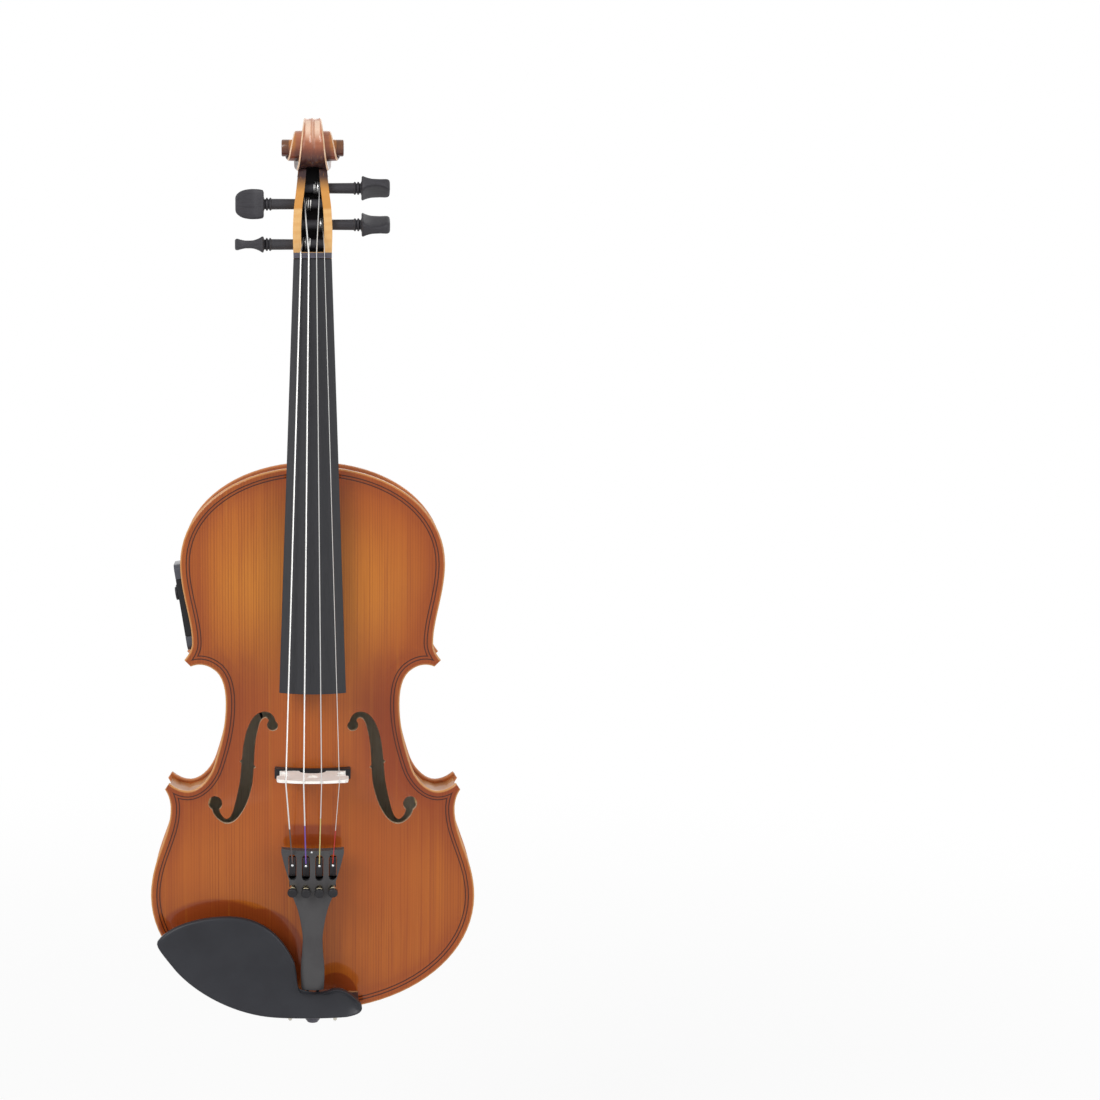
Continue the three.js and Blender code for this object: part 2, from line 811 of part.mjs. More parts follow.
function bellyPlate() {
  const saddleNotch = block(
    -saddleWidth / 2 - seatGap, saddleWidth / 2 + seatGap,
    -edgeLevel - overrun, 0, -overrun, saddleDepth + seatGap,
  );
  const outside = leadHole.clone().setY(-bellyTop - overrun);
  const leadBore = rod(leadRadius + seatGap, outside, leadHole.clone().setY(0), 8);
  return cut(
    plateSolid(plates.belly), ...soundHoleTools(1), ...soundHoleTools(-1),
    neckMortise(), saddleNotch, leadBore,
  );
}

function backPlate() {
  const half = buttonWidth / 2;
  const button = new THREE.Shape();
  button.moveTo(-half, bodyLength - archInset);
  button.lineTo(half, bodyLength - archInset);
  button.lineTo(half, bodyLength + buttonReach - half);
  button.absarc(0, bodyLength + buttonReach - half, half, 0, Math.PI);
  return joined(plateSolid(plates.back), slab(button.getPoints(5), seatLevel, edgeLevel - channelDrop));
}

// Preamp frame: X points out of the bass side, Z runs along the panel towards the scroll.
const upperHalfRows = insetBouts(0).upper.map((point) => [point.y, point.x]);
const preampSetout = readShares(upperHalfRows, preampStation) + preampReach;
const preampUp = new THREE.Vector3(-preampLeanShare, 0, 1).normalize();
const preampOut = new THREE.Vector3(-preampUp.z, 0, preampUp.x);
const preampPlace = new THREE.Matrix4()
  .makeBasis(preampOut, new THREE.Vector3(0, -1, 0), preampUp)
  .setPosition(-preampSetout, 0, preampStation);
const preampHalf = preampWidth / 2;
const capStart = preampLength / 2 - preampCapLength;
const housingHalf = preampHalf - preampWall + seatGap;
const housingEnd = capStart - seatGap;
const jackStation = -capStart - jackRadius - 2 * seatGap;

function inPreamp(geometry) {
  return geometry.clone().applyMatrix4(preampPlace);
}

function preampWindow(gap) {
  return inPreamp(block(
    -preampDepth - overrun, overrun, -housingHalf - gap, housingHalf + gap,
    -housingEnd - gap, housingEnd + gap,
  ));
}

function jackRoom(gap) {
  const at = (x) => new THREE.Vector3(x, 0, jackStation);
  return inPreamp(rod(jackRadius + gap, at(-preampDepth - overrun), at(overrun), 16));
}

// Ribs: a strip for each bout between two insets, mitred at the corners. The lower rib is one piece.
function ribStrip(bout, side) {
  const outer = insetBouts(edgeOverhang)[bout];
  const inner = insetBouts(edgeOverhang + ribThickness)[bout];
  const run = distinct([...outer, ...[...inner].reverse()]);
  const points = side > 0 ? run : mirrored(run);
  return slab(points, -seatLevel, seatLevel);
}

function lowerRib() {
  const outer = insetBouts(edgeOverhang).lower;
  const inner = insetBouts(edgeOverhang + ribThickness).lower;
  const whole = (run) => [...mirrored(run), ...run.slice(1)];
  const strip = slab(distinct([...whole(outer), ...whole(inner).reverse()]), -seatLevel, seatLevel);
  const bore = rod(
    endButtonNeckRadius + 1.5 * seatGap,
    new THREE.Vector3(0, 0, -overrun),
    new THREE.Vector3(0, 0, overrun),
    12,
  );
  return cut(strip, bore);
}

const innerInset = edgeOverhang + ribThickness + seatGap;

function liningTool(gap) {
  return cut(
    outlineSlab(innerInset - gap, -seatLevel, seatLevel),
    outlineSlab(innerInset + liningWidth + gap, -seatLevel - overrun, seatLevel + overrun),
  );
}

function liningLevels(side, gap) {
  const [near, far] = [side * (seatLevel - liningDepth - gap), side * (seatLevel + gap)];
  const reach = lowerBoutWidth;
  return block(-reach, reach, Math.min(near, far), Math.max(near, far), -overrun, bodyLength + overrun);
}

function lining(side) {
  return cut(
    common(liningTool(0), liningLevels(side, 0)),
    neckMortise(), preampWindow(seatGap), jackRoom(seatGap),
  );
}

function liningNotches() {
  return [
    common(liningTool(seatGap), liningLevels(1, seatGap)),
    common(liningTool(seatGap), liningLevels(-1, seatGap)),
  ];
}

function bottomBlock() {
  const half = bottomBlockWidth / 2;
  const form = common(
    outlineSlab(innerInset, -seatLevel, seatLevel),
    block(-half, half, -seatLevel - overrun, seatLevel + overrun, 0, innerInset + blockDepth),
  );
  const bore = rod(
    endButtonNeckRadius + 1.5 * seatGap, new THREE.Vector3(0, 0, -overrun),
    new THREE.Vector3(0, 0, innerInset + blockDepth + overrun), 12,
  );
  return cut(form, bore, ...liningNotches());
}

function topBlock() {
  const half = topBlockWidth / 2;
  const form = common(
    outlineSlab(innerInset, -seatLevel, seatLevel),
    block(
      -half, half, -seatLevel - overrun, seatLevel + overrun,
      bodyLength - innerInset - blockDepth, bodyLength,
    ),
  );
  return cut(form, neckMortise(), ...liningNotches());
}

function cornerBlock(corner, side) {
  const bouts = insetBouts(innerInset);
  const tip = corner === 'lower' ? bouts.waist[0] : bouts.upper[0];
  const near = cornerBlockReach * (corner === 'lower' ? 1 : 0.62);
  const round = Array.from({ length: 12 }, (_, i) => {
    const angle = (2 * Math.PI * i) / 12;
    return new THREE.Vector2(side * tip.x + near * Math.cos(angle), tip.y + near * Math.sin(angle));
  });
  const form = common(outlineSlab(innerInset, -seatLevel, seatLevel), slab(round, -seatLevel, seatLevel));
  return cut(form, ...liningNotches(), preampWindow(seatGap), jackRoom(seatGap));
}

function bassBar() {
  const middle = bodyLength * 0.54;
  const [low, high] = [middle - bassBarLength / 2, middle + bassBarLength / 2];
  const level = -bellyTop + bellyThickness;
  const run = (share) => mix(low, high, share);
  const edge = new THREE.SplineCurve([
    new THREE.Vector2(-seatLevel + seatGap, run(0)),
    new THREE.Vector2(level + bassBarDepth * 0.8, run(0.25)),
    new THREE.Vector2(level + bassBarDepth, run(0.42)),
    new THREE.Vector2(level + bassBarDepth * 0.8, run(0.75)),
    new THREE.Vector2(-seatLevel + seatGap, run(1)),
  ]);
  const corners = [1, 0].map((end) => new THREE.Vector2(-bellyTop, run(end)));
  const outline = [...edge.getPoints(8), ...corners];
  const half = bassBarWidth / 2;
  return common(rail(outline, -bassBarOffset - half, -bassBarOffset + half), airBetween(seatGap));
}

function soundPost() {
  const at = (y) => new THREE.Vector3(postOffset, y, bridgeStation - postBehindBridge);
  return common(rod(postRadius, at(-bellyTop), at(edgeLevel + backRise), 12), airBetween(seatGap));
}

// Fingerboard: an arched top that widens towards the bridge, hollowed under its free end.
const boardEnd = nutStation - boardLength;

function fingerboard() {
  const arcSteps = 6;
  const rings = [0, 0.35, 0.7, 1].map((share) => {
    const z = mix(boardEnd, nutStation - seatGap, share);
    const half = boardHalf(z);
    const arc = Array.from({ length: arcSteps + 1 }, (_, i) => {
      const x = mix(-half, half, i / arcSteps);
      return new THREE.Vector3(x, boardSurface(x, z), z);
    });
    const under = glueLevel(z) - seatGap;
    return [...arc, new THREE.Vector3(half, under, z), new THREE.Vector3(-half, under, z)];
  });
  const hollowRadius = boardRadius / 3;
  const hollow = (z) => new THREE.Vector3(0, glueLevel(z) + hollowRadius - boardEdgeThickness, z);
  const trough = rod(hollowRadius, hollow(boardEnd - overrun), hollow(bodyLength - buttonWidth), 20);
  return cut(loft(rings), trough);
}

function nutBlock() {
  const half = boardNutWidth / 2;
  const steps = 8;
  const top = Array.from({ length: steps + 1 }, (_, i) => {
    const x = mix(half, -half, i / steps);
    return new THREE.Vector2(x, boardSurface(x, nutStation) - nutRise);
  });
  const under = glueLevel(nutStation) - seatGap;
  const points = [...top, new THREE.Vector2(-half, under), new THREE.Vector2(half, under)];
  return extruded(points, nutThickness - seatGap).translate(0, 0, nutStation);
}

// Pegs: a tapered shank, two collar rings and a broad thumb piece, about X.
const pegHeadShares = [
  [0, 0.84, 1], [0.1, 0.95, 0.88], [0.25, 0.99, 0.62], [0.5, 0.98, 0.5], [0.8, 0.84, 0.62], [0.93, 0.66, 0.7],
  [1, 0.42, 0.5],
];
const pegHeadSquareShare = 0.5;

function pegForm(name) {
  const { half } = pegboxForm(pegAxis(name).z);
  const tip = -half - pegTipReach;
  const collar = pegShaftReach;
  const ring = pegCollarLength / 4;
  const waist = pegRadius * 0.92;
  const shank = turned([
    [0, tip], [pegTipRadius, tip], [pegRadius, collar], [pegCollarRadius, collar + ring * 0.4],
    [pegCollarRadius, collar + ring], [waist, collar + ring * 1.5], [pegCollarRadius, collar + ring * 2],
    [pegCollarRadius, collar + ring * 2.6], [waist, collar + ring * 3.2],
    [pegHeadBase / 2, collar + pegCollarLength + seatGap], [0, collar + pegCollarLength + 2 * seatGap],
  ], 8);
  const sides = 12;
  const squared = (value) => Math.sign(value) * Math.abs(value) ** pegHeadSquareShare;
  const head = loft(pegHeadShares.map(([along, broad, thick]) => Array.from({ length: sides }, (_, i) => {
    const angle = (2 * Math.PI * (i + 0.5)) / sides;
    return new THREE.Vector3(
      (pegHeadWidth / 2) * broad * squared(Math.cos(angle)),
      (pegHeadBase / 2) * thick * squared(Math.sin(angle)),
      collar + pegCollarLength + pegHeadLength * along,
    );
  })));
  return joined(shank, head).rotateY(Math.PI / 2);
}

// Bridge half outline, as shares of the half width and the height from the feet.
const bridgeShares = {
  archTop: [0, 0.25],
  footInner: [0.38, 0],
  footOuter: [bridgeFootWidth / bridgeWidth, 0],
  ankle: [0.86, 0.1],
  shin: [0.72, 0.15],
  knee: [0.66, 0.33],
  kneeTip: [0.9, 0.37],
  slotLow: [0.93, 0.42],
  slotIn: [0.72, 0.415],
  kidney: [0.56, 0.49],
  slotOut: [0.7, 0.5],
  wingLow: [0.97, 0.465],
  wing: [1, 0.52],
  shoulder: [0.98, 0.76],
  crownEnd: [0.9, 0.845],
};

function bridgeForm() {
  const half = bridgeWidth / 2;
  const at = (name) => new THREE.Vector2(half * bridgeShares[name][0], bridgeHeight * bridgeShares[name][1]);
  const foot = ['footInner', 'footOuter', 'ankle', 'shin', 'knee', 'kneeTip', 'slotLow', 'slotIn'].map(at);
  const wing = ['slotOut', 'wingLow', 'wing', 'shoulder', 'crownEnd'].map(at);
  const arch = new THREE.QuadraticBezierCurve(
    at('archTop'), new THREE.Vector2(half * 0.36, at('archTop').y), at('footInner'),
  ).getPoints(4);
  const kidney = new THREE.QuadraticBezierCurve(at('slotIn'), at('kidney'), at('slotOut')).getPoints(4);
  const crown = Array.from({ length: 6 }, (_, i) => {
    const x = mix(at('crownEnd').x, 0, (i + 1) / 6);
    return new THREE.Vector2(x, bridgeHeight - arcDrop(bridgeCrownRadius, x));
  });
  const side = distinct([...arch, ...foot, ...kidney.slice(1), ...wing, ...crown]);
  const outline = new THREE.Shape([...side, ...mirrored(side).slice(1, -1)]);
  const heart = new THREE.Path();
  const [wide, low, high] = [half * 0.17, bridgeHeight * 0.42, bridgeHeight * 0.66];
  heart.moveTo(0, low);
  heart.bezierCurveTo(wide, mix(low, high, 0.4), wide * 1.3, high, wide * 0.5, high);
  heart.quadraticCurveTo(0, high, 0, mix(low, high, 0.7));
  heart.quadraticCurveTo(0, high, -wide * 0.5, high);
  heart.bezierCurveTo(-wide * 1.3, high, -wide, mix(low, high, 0.4), 0, low);
  outline.holes.push(heart);
  const settings = { depth: bridgeFootThickness, bevelEnabled: false, curveSegments: 4 };
  const form = new THREE.ExtrudeGeometry(outline, settings);
  const place = form.attributes.position;
  for (let i = 0; i < place.count; i += 1) {
    const rise = place.getY(i) / bridgeHeight;
    const topShare = bridgeTopThickness / bridgeFootThickness;
    place.setXYZ(i, place.getX(i), -place.getY(i), -place.getZ(i) * mix(1, topShare, rise));
  }
  return form.translate(0, -bridgeBase, bridgeStation + bridgeFootThickness / 2);
}

const pickupTop = bellyTop + pickupHeight;
const bridgeBase = pickupTop + seatGap;

function pickupBar() {
  const bar = block(
    -pickupEnd, pickupEnd, -pickupTop, -seatLevel,
    bridgeStation - pickupWidth / 2, bridgeStation + pickupWidth / 2,
  );
  const inside = leadHole.clone().setY(-pickupTop + pickupHeight / 2);
  const bore = rod(leadRadius + seatGap, inside, leadHole.clone().setY(0), 8);
  return cut(bar, underPlate(plates.belly, seatGap), bore);
}

// The route of the pickup's lead inside the body, from the bar to the back of the preamp.
function leadRoute() {
  const end = new THREE.Vector3(-preampDepth - seatGap, 0, housingEnd / 3).applyMatrix4(preampPlace);
  return new THREE.CatmullRomCurve3([
    leadHole.clone().setY(-pickupTop + pickupHeight / 2 + seatGap),
    leadHole.clone().setY(-bellyTop + 2 * bellyThickness),
    leadHole.clone().setY(-bellyTop + 4 * bellyThickness),
    new THREE.Vector3(-26, -15, 174),
    new THREE.Vector3(-34, -8, 196),
    new THREE.Vector3(-44, -2, 226),
    new THREE.Vector3(-50, 0, 252),
    end,
  ]).getPoints(14);
}

// Tailpiece: half width as shares of the head's half width, along its length from the tail.
const tailpieceWidthShares = [
  [0, 0.35], [0.12, 0.372], [0.25, 0.335], [0.365, 0.31], [0.485, 0.375], [0.585, 0.48], [0.694, 0.66],
  [0.77, 0.72], [0.875, 0.864], [1, 1],
];
const tailpieceHead = tailpieceStation + tailpieceLength;

function tailpieceHalf(z) {
  const share = (z - tailpieceStation) / tailpieceLength;
  return (tailpieceHeadWidth / 2) * readShares(tailpieceWidthShares, share);
}

function tailpieceLevel(x, z) {
  const top = mix(tailpieceTailHeight, tailpieceHeadHeight, (z - tailpieceStation) / tailpieceLength);
  return -top + tailpieceCrown * (x / (tailpieceHeadWidth / 2)) ** 2;
}

const stringNames = ['G', 'D', 'A', 'E'];

function stringPlace(name, span) {
  return mix(-span / 2, span / 2, stringNames.indexOf(name) / (stringNames.length - 1));
}

const slotHigh = tailpieceHead - tunerSlotInset;
const slotLow = slotHigh - tunerSlotLength;
const tunerHook = slotHigh - tunerKnobLength / 2;
const tunerScrewStation = slotLow - tunerKnobRadius - tunerLeverThickness;

function tunerAxis(name) {
  const x = stringPlace(name, tailStringSpan);
  const foot = new THREE.Vector3(x, tailpieceLevel(x, tunerScrewStation), tunerScrewStation);
  const out = new THREE.Vector3(0, -Math.cos(tunerTilt), -Math.sin(tunerTilt));
  return { foot, out };
}

function along({ foot, out }, distance) {
  return foot.clone().addScaledVector(out, distance);
}

function tailpieceForm() {
  const arcSteps = 4;
  const rings = tailpieceWidthShares.map(([share]) => {
    const z = mix(tailpieceStation, tailpieceHead, share);
    const half = tailpieceHalf(z);
    const row = (drop) => Array.from({ length: arcSteps + 1 }, (_, i) => {
      const x = mix(-half, half, i / arcSteps);
      return new THREE.Vector3(x, tailpieceLevel(x, z) + drop, z);
    });
    return [...row(0), ...row(tailpieceThickness).reverse()];
  });
  const slots = stringNames.map((name) => {
    const x = stringPlace(name, tailStringSpan);
    const half = tunerSlotWidth / 2;
    return block(x - half, x + half, -tailpieceHeadHeight - overrun, 0, slotLow, slotHigh);
  });
  const bores = stringNames.map((name) => {
    const axis = tunerAxis(name);
    return rod(tunerScrewRadius + seatGap, along(axis, -overrun), along(axis, overrun), 10);
  });
  const gutHoles = [-1, 1].map((side) => {
    const at = gutStart(side);
    return rod(tailgutRadius + seatGap, at.clone().setZ(0), at, 8);
  });
  return cut(loft(rings), ...slots, ...bores, ...gutHoles);
}

function tunerLever(name) {
  const x = stringPlace(name, tailStringSpan);
  const level = tailpieceLevel(x, tunerHook);
  const under = (z) => tailpieceLevel(x, z) + tailpieceThickness + 2 * seatGap;
  const end = tunerScrewStation - tunerScrewRadius;
  const points = [
    new THREE.Vector2(level, tunerHook),
    new THREE.Vector2(level, tunerHook - tunerLeverDrop),
    new THREE.Vector2(level + tailpieceThickness / 2, slotLow + tunerLeverDrop),
    new THREE.Vector2(under(slotLow), slotLow),
    new THREE.Vector2(under(end), end),
    new THREE.Vector2(under(end) + tunerLeverThickness, end),
    new THREE.Vector2(under(slotLow) + tunerLeverThickness, slotLow + tunerLeverDrop),
    new THREE.Vector2(level + tailpieceThickness / 2, tunerHook),
  ];
  return rail(points, x - tunerLeverThickness / 2, x + tunerLeverThickness / 2);
}

function tunerScrew(name) {
  const axis = tunerAxis(name);
  const tip = -tailpieceThickness / Math.cos(tunerTilt) + seatGap;
  const neck = tunerKnobStand;
  const profile = [
    [0, tip], [tunerScrewRadius, tip], [tunerScrewRadius, neck], [tunerKnobRadius, neck + seatGap],
    [tunerKnobRadius, neck + tunerKnobLength - seatGap],
    [tunerKnobRadius - 2 * seatGap, neck + tunerKnobLength],
    [0, neck + tunerKnobLength],
  ];
  const turn = new THREE.Quaternion().setFromUnitVectors(new THREE.Vector3(0, 0, 1), axis.out);
  return turned(profile, 10).applyQuaternion(turn).translate(axis.foot.x, axis.foot.y, axis.foot.z);
}

// Tail end: the gut leaves two holes, crosses the saddle and loops round the button's neck.
const gutSpread = tailgutRadius * 3.6;
const gutLoopStation = -(tailgutRadius + seatGap) - seatGap;
const buttonFace = -tailgutRadius * 4;

function gutStart(side) {
  const z = tailpieceStation + saddleDepth;
  return new THREE.Vector3(side * gutSpread, tailpieceLevel(0, z) + tailpieceThickness / 2, z);
}

function gutSide(side) {
  const lift = -(edgeLevel + saddleRise + tailgutRadius + seatGap);
  const ring = endButtonNeckRadius + tailgutRadius + seatGap;
  return [
    gutStart(side).add(new THREE.Vector3(0, 0, -seatGap)),
    gutStart(side).setZ(tailpieceStation),
    new THREE.Vector3(side * gutSpread, lift, saddleDepth),
    new THREE.Vector3(side * gutSpread, lift, saddleDepth / 4),
    new THREE.Vector3(side * gutSpread, lift + tailgutRadius * 2, gutLoopStation),
    new THREE.Vector3(side * ring, -ring, gutLoopStation),
    new THREE.Vector3(side * ring, 0, gutLoopStation),
    new THREE.Vector3(side * ring * Math.SQRT1_2, ring * Math.SQRT1_2, gutLoopStation),
  ];
}

function tailgutForm() {
  const ring = endButtonNeckRadius + tailgutRadius + seatGap;
  const stations = [...gutSide(-1), new THREE.Vector3(0, ring, gutLoopStation), ...gutSide(1).reverse()];
  return tube(stations, tailgutRadius, 8);
}

function endButton() {
  const inner = innerInset + blockDepth * 0.9;
  return turned([
    [0, buttonFace - endButtonLength], [endButtonRadius * 0.55, buttonFace - endButtonLength],
    [endButtonRadius, buttonFace - endButtonLength * 0.6],
    [endButtonRadius, buttonFace - endButtonLength * 0.25],
    [endButtonNeckRadius * 1.2, buttonFace], [endButtonNeckRadius, buttonFace + seatGap],
    [endButtonNeckRadius * 0.85, inner], [0, inner],
  ], 16);
}

function saddleForm() {
  const rise = edgeLevel + saddleRise;
  return rail([
    new THREE.Vector2(-seatLevel - seatGap, seatGap), new THREE.Vector2(-rise + saddleRise * 0.45, seatGap),
    new THREE.Vector2(-rise + saddleRise * 0.12, saddleDepth * 0.18),
    new THREE.Vector2(-rise, saddleDepth * 0.4),
    new THREE.Vector2(-rise, saddleDepth * 0.65),
    new THREE.Vector2(-edgeLevel - saddleRise * 0.15, saddleDepth),
    new THREE.Vector2(-seatLevel - seatGap, saddleDepth),
  ], -saddleWidth / 2, saddleWidth / 2);
}

// Chinrest outline as Bezier curves, in shares of its reach from the centre line and of its height.
const chinrestShares = [
  [-0.995, 0.76], [-0.93, 0.9], [-0.75, 0.995], [-0.534, 0.997], [-0.33, 0.99], [-0.2, 0.83], [-0.119, 0.57],
  [-0.094, 0.43], [-0.105, 0.275], [-0.07, 0.262], [0, 0.255], [0.08, 0.262], [0.12, 0.3],
  [0.18, 0.34], [0.26, 0.26], [0.31, 0.167], [0.34, 0.09], [0.29, 0.06], [0.22, 0.04],
  [0.08, 0.02], [-0.14, 0.02], [-0.248, 0.032], [-0.52, 0.06], [-0.78, 0.29], [-0.9, 0.52],
  [-0.97, 0.65], [-1.01, 0.72], [-0.995, 0.76],
];
const chinrestSteps = [5, 4, 4, 4, 3, 3, 4, 6, 2];
const chinrestSpineShares = [[-0.62, 0.55], [0.22, 0.17]];

function chinrestOutline() {
  const points = chinrestShares.map(([x, z]) => new THREE.Vector2(chinrestReach * x, chinrestHeight * z));
  return chinrestSteps.flatMap((steps, piece) => (
    new THREE.CubicBezierCurve(...points.slice(3 * piece, 3 * piece + 4)).getPoints(steps).slice(1)
  ));
}

const lugHalf = clampFootWidth / 2;
const lugX = lugSpacing / 2;
const clampX = clampSpacing / 2;
const lugStart = 1.5 * edgeOverhang;
const corkTop = edgeLevel + corkThickness + seatGap;
const clampStation = -clampRodRadius - 1.4 * seatGap;

function chinrestPlate() {
  const outline = chinrestOutline();
  const spine = outline.map((point) => {
    const x = THREE.MathUtils.clamp(
      point.x, chinrestReach * chinrestSpineShares[0][0], chinrestReach * chinrestSpineShares[1][0],
    );
    return new THREE.Vector2(x, chinrestHeight * readShares(chinrestSpineShares, x / chinrestReach));
  });
  const drawn = (share) => outline.map((point, i) => point.clone().lerp(spine[i], share));
  const ring = (share, level) => levelled(drawn(share), -level);
  const under = chinrestLevel - chinrestThickness;
  const round = chinrestThickness * 0.3;
  const dish = filledSkin([
    ring(0.06, under), ring(0, under + round), ring(0, chinrestLevel - round),
    ring(0.06, chinrestLevel), ring(0.2, chinrestLevel - chinrestDish * 0.25),
    ring(0.55, chinrestLevel - chinrestDish * 0.8), ring(0.85, chinrestLevel - chinrestDish),
  ]);
  const lugs = [-lugX, lugX].map((x) => block(
    x - lugHalf, x + lugHalf, -under - round, -corkTop - seatGap, lugStart, lugStart + clampFootDepth,
  ));
  return joined(dish, ...lugs);
}

// The bracket is a bar under the chinrest whose two legs bend round the belly's edge into the barrels.
function clampBracket() {
  const under = -(chinrestLevel - chinrestThickness) + seatGap;
  const bend = 3 * clampRodRadius;
  const [low, middle] = [lugStart + clampRodRadius, under + clampRodRadius];
  const bar = block(
    -clampX - clampRodRadius, clampX + clampRodRadius, under, under + clampPlateThickness,
    low, lugStart + clampFootDepth * 0.7,
  );
  const legs = [-clampX, clampX].map((x) => tube([
    new THREE.Vector3(x, middle, low + bend * 0.7),
    new THREE.Vector3(x, middle, low - bend * 0.3),
    new THREE.Vector3(x, middle + bend * 0.5, clampStation + bend * 0.25),
    new THREE.Vector3(x, middle + bend, clampStation),
    new THREE.Vector3(x, -clampBarrelLength / 4, clampStation),
  ], clampRodRadius, 8));
  return joined(bar, ...legs);
}

function clampBarrel(x) {
  const bore = clampRodRadius + seatGap;
  const half = clampBarrelLength / 2;
  const wall = [[bore, -half], [clampBarrelRadius, -half], [clampBarrelRadius, half], [bore, half]];
  return turned([...wall, wall[0]], 12)
    .rotateX(Math.PI / 2).translate(x, 0, clampStation);
}

const hookLevel = edgeLevel + corkThickness + 2 * seatGap;

function clampHook() {
  const half = clampX + lugHalf;
  const plate = block(
    -half, half, hookLevel, hookLevel + clampPlateThickness,
    clampStation - clampRodRadius, lugStart + clampFootDepth,
  );
  const rods = [-clampX, clampX].map((x) => rod(
    clampRodRadius,
    new THREE.Vector3(x, clampBarrelLength / 4, clampStation),
    new THREE.Vector3(x, hookLevel + clampPlateThickness / 2, clampStation),
    10,
  ));
  return joined(plate, ...rods);
}

function bellyCork(x) {
  return cut(
    block(x - lugHalf, x + lugHalf, -corkTop, -seatLevel, lugStart, lugStart + clampFootDepth),
    underPlate(plates.belly, seatGap),
  );
}

function backCork() {
  const half = clampX + lugHalf;
  return cut(
    block(-half, half, seatLevel, hookLevel - seatGap, lugStart, lugStart + clampFootDepth),
    underPlate(plates.back, seatGap),
  );
}

// Preamp pieces, in the preamp's own frame with the outer face at X = 0.
const capRound = preampHalf / 3;
const drawerEnd = -capStart + 2 * preampWall;
const drawerTop = drawerEnd + drawerThickness;
const drawerHalf = housingHalf - preampWall;
const cellMiddle = -preampDepth + cellRadius + 2.5 * preampWall;
const boardFace = -preampDepth / 2;

function clearOfRib(geometry) {
  const back = preampPlace.clone().invert();
  const body = outlineSlab(edgeOverhang - seatGap, -seatLevel, seatLevel).applyMatrix4(back);
  return cut(geometry, body);
}

function preampHousing() {
  const flange = clearOfRib(block(-overrun, 0, -preampHalf, preampHalf, -housingEnd, housingEnd));
  const box = block(-preampDepth, -preampStand / 2, -housingHalf, housingHalf, -housingEnd, housingEnd);
  const drawerRoom = block(
    -preampDepth + preampWall, overrun, -drawerHalf, drawerHalf, drawerEnd - seatGap, drawerTop + seatGap,
  );
  const boardRoom = block(
    -preampDepth - overrun, -2 * preampWall, -drawerHalf, drawerHalf,
    drawerTop + 2 * preampWall, housingEnd - preampWall,
  );
  const holes = [-1, 1].map((side) => {
    const at = (x) => new THREE.Vector3(x, (side * knobSpacing) / 2, knobStation);
    return rod(knobShaftRadius + 1.5 * seatGap, at(-overrun), at(overrun), 10);
  });
  return cut(joined(flange, box), drawerRoom, boardRoom, ...holes);
}

function preampCap(side) {
  const [near, far] = [capStart, preampLength / 2];
  const plan = new THREE.Shape();
  plan.moveTo(-preampHalf, near);
  plan.lineTo(-preampHalf, far - capRound);
  plan.absarc(-preampHalf + capRound, far - capRound, capRound, Math.PI, Math.PI / 2, true);
  plan.lineTo(preampHalf - capRound, far);
  plan.absarc(preampHalf - capRound, far - capRound, capRound, Math.PI / 2, 0, true);
  plan.lineTo(preampHalf, near);
  const turn = new THREE.Matrix4().makeBasis(
    new THREE.Vector3(0, 1, 0), new THREE.Vector3(0, 0, 1), new THREE.Vector3(1, 0, 0),
  );
  const body = extruded(plan.getPoints(4), overrun).applyMatrix4(turn).translate(-overrun, 0, 0);
  const cap = clearOfRib(side > 0 ? body : body.rotateX(Math.PI));
  const at = (x) => new THREE.Vector3(x, 0, jackStation);
  return side > 0 ? cap : cut(cap, rod(jackRadius + seatGap, at(-2 * overrun), at(overrun), 16));
}

function batteryDrawer() {
  const length = preampDepth - preampWall - seatGap;
  const tray = block(-length, 0, -drawerHalf + seatGap, drawerHalf - seatGap, drawerEnd, drawerTop);
  const pocket = turned([
    [0, preampWall], [cellRadius + seatGap, preampWall], [cellRadius + seatGap, overrun], [0, overrun],
  ], 20).translate(cellMiddle, 0, drawerEnd);
  return cut(tray, pocket);
}

function coinCell() {
  const base = preampWall + seatGap;
  const top = base + cellThickness;
  return turned([[0, base], [cellRadius, base], [cellRadius, top], [0, top]], 20)
    .translate(cellMiddle, 0, drawerEnd);
}

function circuitBoard() {
  return block(
    boardFace - boardThickness, boardFace, -drawerHalf + seatGap, drawerHalf - seatGap,
    drawerTop + 2 * preampWall + seatGap, housingEnd - preampWall - seatGap,
  );
}

function preampKnob(side) {
  return turned([
    [0, boardFace + seatGap], [knobShaftRadius, boardFace + seatGap], [knobShaftRadius, seatGap],
    [knobRadius, seatGap], [knobRadius, knobStand - seatGap],
    [knobRadius - seatGap, knobStand], [0, knobStand],
  ], 14).rotateY(Math.PI / 2).translate(0, (side * knobSpacing) / 2, knobStation);
}

function outputJack() {
  const [inner, outer, face] = [jackBore, jackRadius, 2 * seatGap];
  const wall = [[inner, -preampDepth], [outer, -preampDepth], [outer, face], [inner, face]];
  return turned([...wall, wall[0]], 16)
    .rotateY(Math.PI / 2).translate(0, 0, jackStation);
}

// Strings: one unbroken tube each, from its turns round the peg, over the nut and the bridge, to the
// tuner's hook.
const windingSteps = 10;

